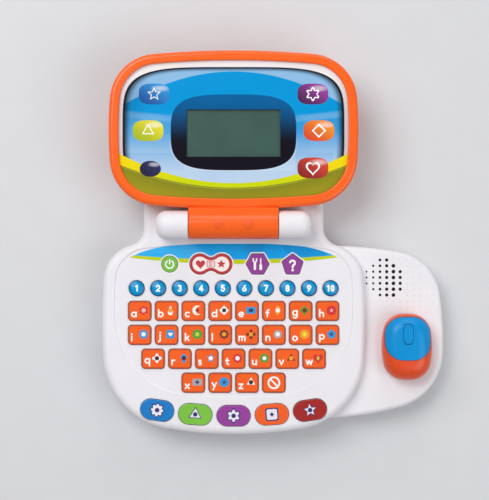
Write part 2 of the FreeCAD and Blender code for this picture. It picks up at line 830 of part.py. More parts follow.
def door_plan(grow, z_low, z_high):
    """Battery door with a screwed tongue at its right end."""
    width, depth = box_size()
    x, y = at_base(0, BOX_ROW)
    plate = round_box(
        x, y, z_low, z_high,
        width + 2 * (DOOR_LEDGE + grow), depth + 2 * (DOOR_LEDGE + grow), DOOR_CORNER_R + grow,
    )
    tongue_w = 2 * (SCREW_BOSS_R + grow)
    reach = width / 2 + DOOR_TONGUE
    tongue = box(x + reach / 2, y, z_low, reach, tongue_w, z_high - z_low)
    tongue_end = post(x + reach, y, z_low, z_high, tongue_w / 2)
    return fused(plate, tongue, tongue_end)


def door_screw_place():
    width, _ = box_size()
    x, y = at_base(0, BOX_ROW)
    return x + width / 2 + DOOR_TONGUE, y


def battery_box_walls():
    """Pan round the door and box for the cells on it, still solid inside."""
    width, depth = box_size()
    x, y = at_base(0, BOX_ROW)
    pan_low = FLOOR_Z - WALL / 2
    pan_top = SHELL_LOW + DOOR_T + BOX_WALL
    pan = door_plan(DOOR_GAP + BOX_WALL, pan_low, pan_top)
    walls = box(x, y, pan_low, width + 2 * BOX_WALL, depth + 2 * BOX_WALL, box_top() + BOX_WALL - pan_low)
    return fused(pan, walls)


def battery_hollow():
    width, depth = box_size()
    x, y = at_base(0, BOX_ROW)
    return box(x, y, SHELL_LOW, width, depth, box_top() - SHELL_LOW)


def screw(x, y, head_low, tip_z):
    """Round screw pointing up, with a cross recess in its head at the bottom."""
    head = post(x, y, head_low, head_low + SCREW_HEAD_H, SCREW_HEAD_R)
    shank = post(x, y, head_low, tip_z, SCREW_R)
    cross = [
        box(x, y, head_low, SCREW_HEAD_R, SCREW_RECESS, SCREW_RECESS),
        box(x, y, head_low, SCREW_RECESS, SCREW_HEAD_R, SCREW_RECESS),
    ]
    return fused(head, shank).cut(cross)


def screw_seat_z():
    """Height at which a screw head bears in the bottom shell."""
    return PART_Z - SCREW_SEAT


def make_base_bottom_shell():
    skin = soften(body_and_neck(0, SHELL_LOW, PART_Z), SHELL_LOW, BOTTOM_EDGE_R)
    pad = soften(slab(PAD, SHELL_LOW, PART_Z), SHELL_LOW, BOTTOM_EDGE_R)
    handle = soften(handle_loop(0, HANDLE_LOW, PART_Z), HANDLE_LOW, HANDLE_EDGE_R)
    skin = fused(skin, pad, handle)
    hollows = [
        soften(body_and_neck(WALL, FLOOR_Z, PART_Z), FLOOR_Z, BOTTOM_EDGE_R - WALL),
        soften(slab(inset(PAD, WALL), FLOOR_Z, PART_Z), FLOOR_Z, BOTTOM_EDGE_R - WALL),
        handle_loop(WALL, HANDLE_LOW + WALL, PART_Z),
        grip_gap(0, SHELL_LOW, PART_Z),
    ]
    shell = skin.cut(hollows)
    additions = [battery_box_walls()]
    for offset_x, from_hinge in BASE_SCREWS:
        additions.append(post(*at_base(offset_x, from_hinge), FLOOR_Z - WALL / 2, PART_Z, SCREW_BOSS_R))
    for offset_x, from_hinge in BOARD_POSTS:
        additions.append(post(*at_base(offset_x, from_hinge), FLOOR_Z - WALL / 2, BOARD_LOW, BOARD_POST_R))
    additions.append(post(*door_screw_place(), FLOOR_Z, PART_Z, SCREW_BOSS_R))
    for foot in FEET:
        additions.append(post(*at_base(*foot), FLOOR_Z - WALL / 2, FLOOR_Z + FOOT_SEAT, FOOT_R + WALL))
    shell = fused(shell, *additions)
    cuts = [battery_hollow(), door_plan(DOOR_GAP, SHELL_LOW, SHELL_LOW + DOOR_T)]
    for offset_x, from_hinge in BASE_SCREWS:
        place = at_base(offset_x, from_hinge)
        cuts.append(post(*place, SHELL_LOW, screw_seat_z(), SCREW_HEAD_R + SCREW_GAP))
        cuts.append(post(*place, SHELL_LOW, PART_Z, SCREW_R + SCREW_GAP))
    cuts.append(post(*door_screw_place(), SHELL_LOW, PART_Z - WALL, SCREW_R + SCREW_GAP))
    cuts += [post(*at_base(*foot), SHELL_LOW, SHELL_LOW + FOOT_SEAT, FOOT_R + FOOT_GAP) for foot in FEET]
    save("base_bottom_shell", shell.cut(cuts))


def make_battery_door():
    place = door_screw_place()
    door = door_plan(0, SHELL_LOW, SHELL_LOW + DOOR_T)
    seat = post(*place, SHELL_LOW, SHELL_LOW + SCREW_HEAD_H, SCREW_HEAD_R + SCREW_GAP)
    save("battery_door", door.cut([seat, post(*place, SHELL_LOW, SHELL_LOW + DOOR_T, SCREW_R + SCREW_GAP)]))


def make_base_screws():
    """Screws that hold the two shells together, and the one that holds the battery door."""
    head_low = screw_seat_z() - SCREW_HEAD_H
    screws = [screw(*at_base(*place), head_low, base_screw_tip()) for place in BASE_SCREWS]
    screws.append(screw(*door_screw_place(), SHELL_LOW, SHELL_LOW + SCREW_BITE))
    save("base_screws", *screws)


def make_rubber_feet():
    feet = []
    for foot in FEET:
        disc = post(*at_base(*foot), 0, FOOT_DROP + FOOT_SEAT, FOOT_R)
        feet.append(soften(disc, 0, FOOT_EDGE_R))
    save("rubber_feet", *feet)


def cell_rows():
    """Height of the cells' axes and the Y of each."""
    _, depth = box_size()
    y = at_base(0, BOX_ROW)[1] - depth / 2 + CELL_GAP + CELL_R
    step = 2 * CELL_R + CELL_GAP
    return SHELL_LOW + DOOR_T + CELL_GAP + CELL_R, [y + index * step for index in range(CELL_COUNT)]


def make_batteries():
    """Cells side by side, every other one turned round."""
    x = at_base(0, BOX_ROW)[0]
    z, rows = cell_rows()
    cells = []
    for index, y in enumerate(rows):
        way = 1 if index % 2 else -1
        start = Vector(x - way * (CELL_L + CELL_NUB_H) / 2, y, z)
        can = Part.makeCylinder(CELL_R, CELL_L, start, Vector(way, 0, 0))
        nub = Part.makeCylinder(CELL_NUB_R, CELL_L + CELL_NUB_H, start, Vector(way, 0, 0))
        cells.append(fused(can, nub))
    save("batteries", *cells)


def make_battery_contacts():
    """Sprung plates at both ends of each cell, against the end walls of the box."""
    width, _ = box_size()
    x = at_base(0, BOX_ROW)[0]
    z, rows = cell_rows()
    plates = []
    for y in rows:
        for side in (-1, 1):
            place = x + side * (width / 2 - CONTACT_T / 2)
            plates.append(box(place, y, z - CONTACT_W / 2, CONTACT_T, CONTACT_W, CONTACT_W))
    save("battery_contacts", *plates)


def make_speaker():
    x, y = at_base(SPEAKER_X, SPEAKER_ROW)
    top = PAD_CEILING - SPEAKER_GAP
    rim = post(x, y, top - SPEAKER_RIM_T, top, SPEAKER_R)
    cone_low = top - SPEAKER_RIM_T - SPEAKER_CONE_H
    cone = Part.makeCone(SPEAKER_MAGNET_R, SPEAKER_CONE_R, SPEAKER_CONE_H, Vector(x, y, cone_low))
    magnet = post(x, y, cone_low - SPEAKER_MAGNET_H, cone_low, SPEAKER_MAGNET_R)
    save("speaker", fused(rim, cone, magnet))


def make_hinge_pins():
    save("hinge_pins", *[hinge_pin(side, PIN_R, PIN_IN_TAB, PIN_IN_BARREL) for side in (-1, 1)])


# Mouse

MOUSE_LOW = PAD_TOP + MOUSE_LIFT
SLIDE_TOP = PAD_CEILING - SLIDE_GAP
SLIDE_LOW = SLIDE_TOP - SLIDE_T
RETAINER_TOP = SLIDE_LOW - SLIDE_GAP
RETAINER_LOW = RETAINER_TOP - RETAINER_T


def mouse_dome():
    """Outer form of the mouse, body and button together."""
    dome = soften(slab(MOUSE, MOUSE_LOW, MOUSE_LOW + MOUSE_H), MOUSE_LOW + MOUSE_H, MOUSE_EDGE_R)
    return soften(dome, MOUSE_LOW, MOUSE_FOOT_R)


def button_prism(grow, z_low):
    return slab(inset(BUTTON, -grow), z_low, MOUSE_LOW + 2 * MOUSE_H)


def make_mouse_body():
    pocket_low = MOUSE_LOW + BUTTON_SEAT - BUTTON_TRAVEL - BUTTON_STOP_GAP
    body = mouse_dome().cut(button_prism(BUTTON_GAP, pocket_low))
    stem = post(MOUSE.x, MOUSE.y, RETAINER_TOP, MOUSE_LOW + MOUSE_FOOT_R, STEM_R)
    spigot = post(MOUSE.x, MOUSE.y, RETAINER_LOW, RETAINER_TOP, RETAINER_SEAT_R)
    save("mouse_body", fused(body, stem, spigot))


def make_mouse_button():
    """Blue top of the mouse, with a moulded wheel."""
    button = mouse_dome().common(button_prism(0, MOUSE_LOW + BUTTON_SEAT))
    wheel_y = BUTTON.y + BUTTON_HALF_L - WHEEL_BACK_GAP - WHEEL_L / 2
    top = MOUSE_LOW + MOUSE_H
    wheel = round_box(
        MOUSE.x, wheel_y, top - WHEEL_SINK, top + WHEEL_H, WHEEL_W, WHEEL_L, WHEEL_CORNER_R,
    )
    save("mouse_button", fused(button, soften(wheel, top + WHEEL_H, WHEEL_H / 2)))


def make_mouse_slide():
    """Plate under the pad that runs sideways and lets the stem run back and forth in its slot."""
    width, depth = slide_size()
    plate = box(MOUSE.x, MOUSE.y, SLIDE_LOW, width, depth, SLIDE_T)
    slot_w = 2 * (STEM_R + STEM_RUN_GAP)
    slot = round_box(
        MOUSE.x, MOUSE.y, SLIDE_LOW, SLIDE_TOP, slot_w, slot_w + 2 * MOUSE_TRAVEL, STEM_R,
    )
    save("mouse_slide", plate.cut(slot))


def make_mouse_retainer():
    disc = post(MOUSE.x, MOUSE.y, RETAINER_LOW, RETAINER_TOP, RETAINER_R)
    bore = post(MOUSE.x, MOUSE.y, RETAINER_LOW, RETAINER_TOP, RETAINER_SEAT_R + PIN_SEAT_GAP)
    save("mouse_retainer", disc.cut(bore))


# Lid, lying open with its face up

def tab_cylinder():
    start = Vector(BODY_X - TAB_HALF_W, HINGE_Y, HINGE_Z)
    roll = Part.makeCylinder(BARREL_R, 2 * TAB_HALF_W, start, Vector(1, 0, 0))
    ends = [edge for edge in roll.Edges if abs(abs(edge.CenterOfMass.x - BODY_X) - TAB_HALF_W) < TOLERANCE]
    return roll.makeFillet(TAB_EDGE_R, ends)


def plug_post(side, radius):
    """Upright cylinder at a screw plug in the hinge tab."""
    low = HINGE_Z + BARREL_R - PLUG_DEPTH
    return post(BODY_X + side * PLUG_X, HINGE_Y, low, HINGE_Z + 2 * BARREL_R, radius)


def lid_screw_places():
    """Places of the lid screws and the side of the lid that each is on."""
    places = []
    for side in (-1, 1):
        for end in (-1, 1):
            x = LID.x + side * (LID_HALF_W - LID_SCREW_INSET)
            places.append((x, LID.y + end * LID_SCREW_Y, side))
    return places


def lid_ear(x, y, side):
    """Screw ear on the inside of the front frame, under the panel."""
    top = PANEL_LOW - PANEL_EAR_GAP
    reach = LID_SCREW_INSET - LID_WALL
    arm = box(x + side * reach / 2, y, LID_PART, reach, 2 * SCREW_BOSS_R, top - LID_PART)
    return fused(arm, post(x, y, LID_PART, top, SCREW_BOSS_R))


def inner_rim_edges(frame):
    """Edges of the rim's opening in the lid's face."""
    reach_x = LID_HALF_W - RIM_W + TOLERANCE
    reach_y = LID_HALF_H - RIM_W + TOLERANCE
    return [
        edge for edge in level_edges(frame, LID_FACE)
        if all(abs(p.x - LID.x) < reach_x and abs(p.y - LID.y) < reach_y for p in edge.discretize(3))
    ]


def make_lid_front_frame():
    frame = soften(slab(LID, LID_PART, LID_FACE), LID_FACE, LID_FRONT_EDGE_R)
    bezel = slab(inset(LID, RIM_W - BEZEL_T), PANEL_FACE, LID_FACE)
    hollow = slab(inset(LID, LID_WALL), LID_PART, LID_FACE - LID_WALL).cut(bezel)
    frame = frame.cut([hollow, slab(inset(LID, RIM_W), LID_PART, LID_FACE)])
    frame = frame.makeFillet(RIM_LIP_R, inner_rim_edges(frame))
    web_depth = LID_OFFSET + LID_WALL / 2
    web = box(BODY_X, HINGE_Y + web_depth / 2, LID_PART, 2 * TAB_HALF_W, web_depth, LID_FRONT_T)
    web = web.cut(slab(inset(LID, LID_WALL), LID_PART, LID_FACE))
    frame = fused(frame, tab_cylinder(), web, *[lid_ear(*place) for place in lid_screw_places()])
    cuts = []
    for side in (-1, 1):
        cuts.append(hinge_pin(side, PIN_R + PIN_RUN_GAP, PIN_IN_TAB + PIN_END_GAP, 0))
        cuts.append(plug_post(side, PLUG_R + PLUG_GAP))
    for x, y, _ in lid_screw_places():
        cuts.append(post(x, y, LID_PART, LID_PART + LID_SCREW_BITE, SCREW_R + SCREW_GAP))
    save("lid_front_frame", frame.cut(cuts))


def make_tab_plugs():
    """Plugs over the tab screws, flush with the tab."""
    save("tab_plugs", *[plug_post(side, PLUG_R).common(tab_cylinder()) for side in (-1, 1)])


def badge_disc(grow, z_low, z_high):
    """Oval disc in the middle of the lid's back."""
    centre = Vector(LID.x, LID.y, z_low)
    rim = Part.Ellipse(centre, BADGE_W / 2 + grow, BADGE_H / 2 + grow).toShape()
    return Part.Face(Part.Wire(rim)).extrude(Vector(0, 0, z_high - z_low))


def make_lid_back_cover():
    cover = soften(slab(LID, LID_BACK, LID_PART), LID_BACK, LID_BACK_EDGE_R)
    floor = LID_BACK + LID_WALL
    hollow = soften(slab(inset(LID, LID_WALL), floor, LID_PART), floor, LID_BACK_EDGE_R - LID_WALL)
    cover = cover.cut(hollow)
    rise = floor - LID_WALL / 2
    bosses = [post(x, y, rise, LID_PART, SCREW_BOSS_R) for x, y, _ in lid_screw_places()]
    bosses += [post(LID.x + x, LID.y + y, rise, PANEL_LOW, PANEL_POST_R) for x, y in PANEL_POSTS]
    cover = fused(cover, *bosses)
    cuts = [badge_disc(BADGE_GAP, LID_BACK, LID_BACK + BADGE_DEPTH)]
    seat_z = LID_BACK + LID_SCREW_SINK + SCREW_HEAD_H
    for x, y, _ in lid_screw_places():
        cuts.append(post(x, y, LID_BACK, seat_z, SCREW_HEAD_R + SCREW_GAP))
        cuts.append(post(x, y, LID_BACK, LID_PART, SCREW_R + SCREW_GAP))
    save("lid_back_cover", cover.cut(cuts))


def make_lid_badge():
    disc = badge_disc(0, LID_BACK + BADGE_DEPTH - BADGE_T, LID_BACK + BADGE_DEPTH)
    save("lid_badge", soften(disc, LID_BACK + BADGE_DEPTH - BADGE_T, BADGE_EDGE_R))


def make_lid_screws():
    low = LID_BACK + LID_SCREW_SINK
    tip = LID_PART + LID_SCREW_BITE - SCREW_GAP
    save("lid_screws", *[screw(x, y, low, tip) for x, y, _ in lid_screw_places()])


def make_display_panel():
    """Printed panel tucked under the rim, with a window for the display."""
    panel = slab(inset(LID, RIM_W - PANEL_TUCK), PANEL_LOW, PANEL_FACE)
    window = box(LID.x, HINGE_Y + LCD_CENTRE, PANEL_LOW, LCD_W, LCD_H, PANEL_T)
    save("display_panel", panel.cut(window))


def make_display_lens():
    low = PANEL_FACE - LENS_DEPTH - LENS_T
    width = LCD_W - 2 * LENS_GAP
    height = LCD_H - 2 * LENS_GAP
    save("display_lens", box(LID.x, HINGE_Y + LCD_CENTRE, low, width, height, LENS_T))


def make_lcd_module():
    width = LCD_W + 2 * LCD_MARGIN
    height = LCD_H + 2 * LCD_MARGIN
    low = PANEL_LOW - LCD_GAP - LCD_T
    save("lcd_module", box(LID.x, HINGE_Y + LCD_CENTRE, low, width, height, LCD_T))


def main():
    os.makedirs("parts", exist_ok=True)
    make_base_top_shell()
    make_base_bottom_shell()
    make_battery_door()
    make_batteries()
    make_battery_contacts()
    make_base_screws()
    make_rubber_feet()
    make_main_board()
    make_key_mat()
    make_speaker()
    make_hinge_pins()
    make_keys()
    make_number_keys()
    make_mouse_body()
    make_mouse_button()
    make_mouse_slide()
    make_mouse_retainer()
    make_lid_front_frame()
    make_lid_back_cover()
    make_tab_plugs()
    make_lid_badge()
    make_lid_screws()
    make_display_panel()
    make_display_lens()
    make_lcd_module()


main()
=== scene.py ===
import json
import math

import bmesh
import bpy
from mathutils import Matrix, Vector


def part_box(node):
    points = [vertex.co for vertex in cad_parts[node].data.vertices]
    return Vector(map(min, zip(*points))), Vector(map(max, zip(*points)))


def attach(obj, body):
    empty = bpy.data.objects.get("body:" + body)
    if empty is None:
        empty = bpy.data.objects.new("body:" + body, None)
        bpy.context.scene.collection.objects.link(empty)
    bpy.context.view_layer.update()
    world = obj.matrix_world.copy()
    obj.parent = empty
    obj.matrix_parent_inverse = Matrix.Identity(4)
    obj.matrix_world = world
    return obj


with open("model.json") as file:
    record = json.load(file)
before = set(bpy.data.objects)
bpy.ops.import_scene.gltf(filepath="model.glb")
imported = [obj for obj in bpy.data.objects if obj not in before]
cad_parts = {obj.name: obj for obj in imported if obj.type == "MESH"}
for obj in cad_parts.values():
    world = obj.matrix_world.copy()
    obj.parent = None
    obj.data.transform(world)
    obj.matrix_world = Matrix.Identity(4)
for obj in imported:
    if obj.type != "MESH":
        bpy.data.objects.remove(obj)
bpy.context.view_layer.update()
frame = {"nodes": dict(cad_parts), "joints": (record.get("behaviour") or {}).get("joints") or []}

bl_info = {
    "name": "Toy Laptop Looks",
    "version": (1, 0, 0),
    "blender": (4, 5, 0),
    "location": "3D View > Sidebar > Toy Laptop",
    "description": "Plastics, prints and stage for a toy laptop with keyboard, lid and captive mouse",
    "category": "Object",
}

NODES = frame["nodes"]
MM = 0.001

# Places read from the frame, in metres


def middle(node):
    low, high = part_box(node)
    return (low + high) / 2


def top_of(node):
    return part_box(node)[1].z


LETTERS = "abcdefghijklmnopqrstuvwxyz"
LETTER_KEYS = ["key_" + letter for letter in LETTERS] + ["key_clear"]
FUNCTION_KEYS = ["power_key", "name_key", "tools_key", "help_key"]
MODE_KEYS = [colour + "_mode_key" for colour in ("blue", "green", "purple", "orange", "red")]

BODY_X = middle("lid_back_cover").x
HINGE = Vector(next(joint for joint in frame["joints"] if joint["name"] == "lid_hinge")["pos_m"])
LID_Y = middle("lid_back_cover").y
LID_PART_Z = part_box("lid_back_cover")[1].z
SHELL_PART_Z = 14.0 * MM
KEY_STAND = 1.2 * MM
PANEL_Z = top_of("display_panel")
LETTER_TOP = top_of("key_a")
FIELD_Z = LETTER_TOP - KEY_STAND
MODE_TOP = top_of("blue_mode_key")
PAD_TOP = 22.0 * MM
NUMBER_COUNT = 10


def tone(code):
    """Linear colour from a six-digit screen colour."""
    parts = [int(code[index:index + 2], 16) / 255 for index in (0, 2, 4)]
    linear = [c / 12.92 if c <= 0.04045 else ((c + 0.055) / 1.055) ** 2.4 for c in parts]
    return (*linear, 1.0)


# Sizes and colours that a user would change


def colour_property(label, code, about):
    return bpy.props.FloatVectorProperty(
        name=label, description=about, subtype="COLOR", size=4, min=0.0, max=1.0, default=tone(code),
    )


def length_property(label, length, about):
    return bpy.props.FloatProperty(
        name=label, description=about, unit="LENGTH", min=0.0, default=length * MM,
    )


class LaptopColours(bpy.types.PropertyGroup):
    """Colours of the moulded plastics and of the printing inks"""

    shell: colour_property("Shell", "ECEAEF", "White plastic of the base")
    lid: colour_property("Lid", "FF6519", "Orange plastic of the lid")
    mouse: colour_property("Mouse", "E54C17", "Orange plastic of the mouse")
    letter_key: colour_property("Letter keys", "F86016", "Orange plastic of the letter keys")
    key_edge: colour_property("Key edge", "7A2A10", "Shaded lower edge of the letter keys")
    number_key: colour_property("Number keys", "007FB8", "Blue plastic of the number keys")
    number_edge: colour_property("Number edge", "043F78", "Shaded lower edge of the number keys")
    mouse_button: colour_property("Mouse button", "0091D6", "Blue plastic of the mouse button")
    green: colour_property("Green", "7CC242", "Green keys")
    red: colour_property("Red", "C22F38", "Border of the long red key")
    purple: colour_property("Purple", "953F9A", "Purple keys")
    dark_red: colour_property("Dark red", "A3201C", "Dark red mode key")
    mode_blue: colour_property("Mode blue", "0E7CC8", "Blue mode key")
    mode_orange: colour_property("Mode orange", "F4601F", "Orange mode key")
    mode_edge: colour_property("Mode edge", "1B1B46", "Shaded lower edge of the mode keys")
    print_blue: colour_property("Print blue", "0095D7", "Blue of the display panel")
    print_pale: colour_property("Print pale", "C2D5EA", "Pale blue of the display panel")
    print_lime: colour_property("Print lime", "C3D11B", "Lime stripe")
    print_yellow: colour_property("Print yellow", "EDD90F", "Yellow ends of the display stripe")
    print_olive: colour_property("Print olive", "9B9620", "Olive field of the display panel")
    print_dark: colour_property("Print dark", "120F1D", "Dark surround of the display")
    lcd: colour_property("Display", "345A50", "Unlit display")
    ink: colour_property("Ink", "FBFAF8", "White legends")


class LaptopSizes(bpy.types.PropertyGroup):
    """Sizes of the printed and moulded details"""

    letter_height: length_property("Letter height", 4.5, "Height of a small letter on its key")
    letter_stroke: length_property("Letter stroke", 1.25, "Stroke width of the letters")
    digit_height: length_property("Digit height", 4.95, "Height of a digit on a number key")
    picture_size: length_property("Picture size", 8.2, "Width of the small picture on a letter key")
    ink_lift: length_property("Ink lift", 0.06, "How far a legend stands above its key")
    ink_depth: length_property("Ink depth", 0.08, "How far a legend goes into its key")
    bump_radius: length_property("Bump radius", 0.9, "Radius of a low bump on the mouse pad")
    bump_height: length_property("Bump height", 0.22, "Height of a low bump on the mouse pad")


def colours():
    return bpy.context.scene.laptop_colours


def sizes():
    return bpy.context.scene.laptop_sizes


# Nodes of materials and shapes

BLACK = (0.0, 0.0, 0.0, 1.0)
WHITE = (1.0, 1.0, 1.0, 1.0)
CLOUD_SCALE = 38.0
CLOUD_GLOSS = 0.1
SKIN_SCALE = 2600.0
SKIN_GLOSS = 0.05
SKIN_DEPTH = 0.004 * MM


class Signal:
    """What a node gives out, with the usual operators."""

    def __init__(self, owner, socket):
        self.owner = owner
        self.socket = socket

    def __add__(self, other):
        return self.owner.math("ADD", self, other)

    def __radd__(self, other):
        return self.owner.math("ADD", other, self)

    def __sub__(self, other):
        return self.owner.math("SUBTRACT", self, other)

    def __rsub__(self, other):
        return self.owner.math("SUBTRACT", other, self)

    def __mul__(self, other):
        return self.owner.math("MULTIPLY", self, other)

    def __rmul__(self, other):
        return self.owner.math("MULTIPLY", other, self)

    def __truediv__(self, other):
        return self.owner.math("DIVIDE", self, other)

    def __pow__(self, other):
        return self.owner.math("POWER", self, other)

    def __abs__(self):
        return self.owner.math("ABSOLUTE", self)

    def above(self, edge, blur):
        """1 where the value is over an edge, 0 below it, with a soft step."""
        settings = {"interpolation_type": "SMOOTHSTEP"}
        inputs = {"Value": self, "From Min": edge - blur, "From Max": edge + blur}
        return self.owner.signal("ShaderNodeMapRange", settings, inputs)

    def below(self, edge, blur):
        return 1.0 - self.above(edge, blur)


class Nodes:
    """A tree of nodes, each made in one call."""

    def __init__(self, tree):
        self.tree = tree

    def node(self, kind, settings=None, sockets=None):
        """Any node: its settings first, then values or links for its sockets."""
        made = self.tree.nodes.new(kind)
        for name, value in (settings or {}).items():
            setattr(made, name, value)
        for name, value in (sockets or {}).items():
            self.feed(made.inputs[name], value)
        return made

    def feed(self, socket, value):
        if isinstance(value, Signal):
            self.tree.links.new(value.socket, socket)
        else:
            socket.default_value = value

    def signal(self, kind, settings=None, sockets=None, output=0):
        return Signal(self, self.node(kind, settings, sockets).outputs[output])

    def math(self, operation, *values):
        return self.signal("ShaderNodeMath", {"operation": operation}, dict(enumerate(values)))


class Finish(Nodes):
    """A material made of nodes around one principled shader."""

    def __init__(self, name, roughness=0.4, coat=0.0, specular=0.5):
        self.material = bpy.data.materials.new(name)
        self.material.use_nodes = True
        super().__init__(self.material.node_tree)
        self.shader = self.tree.nodes["Principled BSDF"]
        self.shader.inputs["Roughness"].default_value = roughness
        self.shader.inputs["Coat Weight"].default_value = coat
        self.shader.inputs["Specular IOR Level"].default_value = specular
        self.places = None

    def place(self):
        """A point in Object coordinates and its three numbers, in metres."""
        if self.places is None:
            coordinates = self.node("ShaderNodeTexCoord")
            point = Signal(self, coordinates.outputs["Object"])
            split = self.node("ShaderNodeSeparateXYZ", None, {0: point})
            self.places = [point] + [Signal(self, output) for output in split.outputs]
        return self.places

    def mix(self, factor, low, high):
        """Colour mixed from two colours."""
        settings = {"data_type": "RGBA"}
        return self.signal("ShaderNodeMix", settings, {0: factor, 6: low, 7: high}, 2)

    def noise(self, scale, detail=2.0):
        sockets = {"Vector": self.place()[0], "Scale": scale, "Detail": detail}
        return self.signal("ShaderNodeTexNoise", None, sockets)

    def bricks(self, first, second, size, offset, more):
        """Rows of blocks in two colours, with their width and height in millimetres."""
        sockets = {
            "Vector": self.place()[0], "Color1": first, "Color2": second, "Mortar Size": 0.0,
            "Scale": 1 / MM, "Brick Width": size[0], "Row Height": size[1],
        }
        return self.signal("ShaderNodeTexBrick", {"offset": offset}, sockets | more)

    def paint(self, **channels):
        """Feed channels of the shader by name, such as base_color."""
        for name, value in channels.items():
            self.feed(self.shader.inputs[name.replace("_", " ").title()], value)

    def relief(self, height, depth):
        """Fine relief from a height signal between 0 and 1."""
        sockets = {"Height": height, "Distance": depth, "Strength": 1.0}
        self.paint(normal=self.signal("ShaderNodeBump", None, sockets))

    def moulded(self, colour, sheen=0.06, grain=SKIN_SCALE):
        """Moulded plastic: a little uneven in tone and gloss, with a fine skin from the mould."""
        cloud = self.noise(CLOUD_SCALE, 3.0)
        skin = self.noise(grain)
        gloss = self.shader.inputs["Roughness"].default_value
        if isinstance(colour, Signal):
            dark = self.mix(sheen, colour, BLACK)
        else:
            dark = darker(colour, 1 - sheen)
        self.paint(
            base_color=self.mix(cloud.above(0.5, 0.25), dark, colour),
            roughness=gloss + CLOUD_GLOSS * (cloud - 0.5) + SKIN_GLOSS * (skin - 0.5),
        )
        self.relief(skin, SKIN_DEPTH)
        return self.material


def darker(colour, share):
    """A colour with only a share of its light."""
    return tuple(channel * share for channel in colour[:3]) + (1.0,)


def millimetres(signal, origin):
    """A coordinate counted in millimetres from a place."""
    return (signal - origin) / MM


# Flat prints: closed thin solids made of strokes and filled outlines

ARC_STEP = 12
LEVEL_STEP = 0.7
LAYER_STEP = 0.0012 * MM
CURVE_STEP = 0.5 * MM
END_STEPS = 6


def points_on_arc(x, y, radius, start, end, stretch=1.0):
    """Points along an arc between two angles in degrees, stretched in height."""
    count = max(4, int(abs(end - start) / ARC_STEP))
    angles = [math.radians(start + (end - start) * step / count) for step in range(count + 1)]
    return [(x + radius * math.cos(angle), y + radius * stretch * math.sin(angle)) for angle in angles]


def scaled(outline, factor=MM):
    return [(x * factor, y * factor) for x, y in outline]


def full_turn(count):
    return [2 * math.pi * step / count for step in range(count)]


def polar(radius_at, count):
    """Closed outline from a radius for each angle, counted from straight up."""
    return [(-math.sin(a) * radius_at(a), math.cos(a) * radius_at(a)) for a in full_turn(count)]


def regular(sides, turn=0.0):
    return [(-math.sin(a + turn), math.cos(a + turn)) for a in full_turn(sides)]


def star(tips, hollow):
    radii = [1.0, hollow] * tips
    return [(-math.sin(a) * r, math.cos(a) * r) for a, r in zip(full_turn(2 * tips), radii)]


def petals(count, depth):
    return polar(lambda angle: 1 - depth + depth * math.cos(count * angle), 10 * count)


def cog(teeth):
    return polar(lambda angle: 0.9 + 0.1 * math.tanh(6 * math.cos(teeth * angle)), 12 * teeth)


def crescent():
    outer = points_on_arc(0, 0, 1, 50, 310)
    inner = points_on_arc(0.45, 0, 0.79, 285, 75)
    return outer + inner


def drop():
    return [(0.75 * math.sin(a) * math.sin(a / 2) ** 1.4, math.cos(a)) for a in full_turn(40)]


def heart():
    """The usual heart curve, a sum of four waves."""
    waves = ((13, 1), (-5, 2), (-2, 3), (-1, 4))
    return [
        (math.sin(a) ** 3, sum(height * math.cos(rate * a) for height, rate in waves) / 15)
        for a in full_turn(48)
    ]


def leaf():
    return points_on_arc(-0.6, 0, 1.17, -58, 58) + points_on_arc(0.6, 0, 1.17, 122, 238)


def rounded(width, height, power):
    """Outline of a soft rectangle, boxier with a higher power."""
    def soft(wave):
        return math.copysign(abs(wave) ** (2 / power), wave) / 2

    return [(soft(math.cos(a)) * width, soft(math.sin(a)) * height) for a in full_turn(64)]


OUTLINES = {
    "disc": polar(lambda angle: 1.0, 40),
    "square": rounded(1.7, 1.7, 7.0),
    "card": rounded(2.0, 1.4, 9.0),
    "triangle": regular(3),
    "diamond": regular(4),
    "pentagon": regular(5),
    "hexagon": regular(6, math.pi / 6),
    "star": star(5, 0.45),
    "sun": star(12, 0.72),
    "flower": petals(6, 0.18),
    "clover": petals(4, 0.22),
    "cog": cog(8),
    "moon": crescent(),
    "drop": drop(),
    "heart": heart(),
    "leaf": leaf(),
    "arrow": [(0, 1), (-0.8, 0.1), (-0.35, 0.1), (-0.35, -0.9), (0.35, -0.9), (0.35, 0.1), (0.8, 0.1)],
    "cross": [
        (-0.3, 0.95), (-0.3, 0.3), (-0.95, 0.3), (-0.95, -0.3), (-0.3, -0.3), (-0.3, -0.95),
        (0.3, -0.95), (0.3, -0.3), (0.95, -0.3), (0.95, 0.3), (0.3, 0.3), (0.3, 0.95),
    ],
}


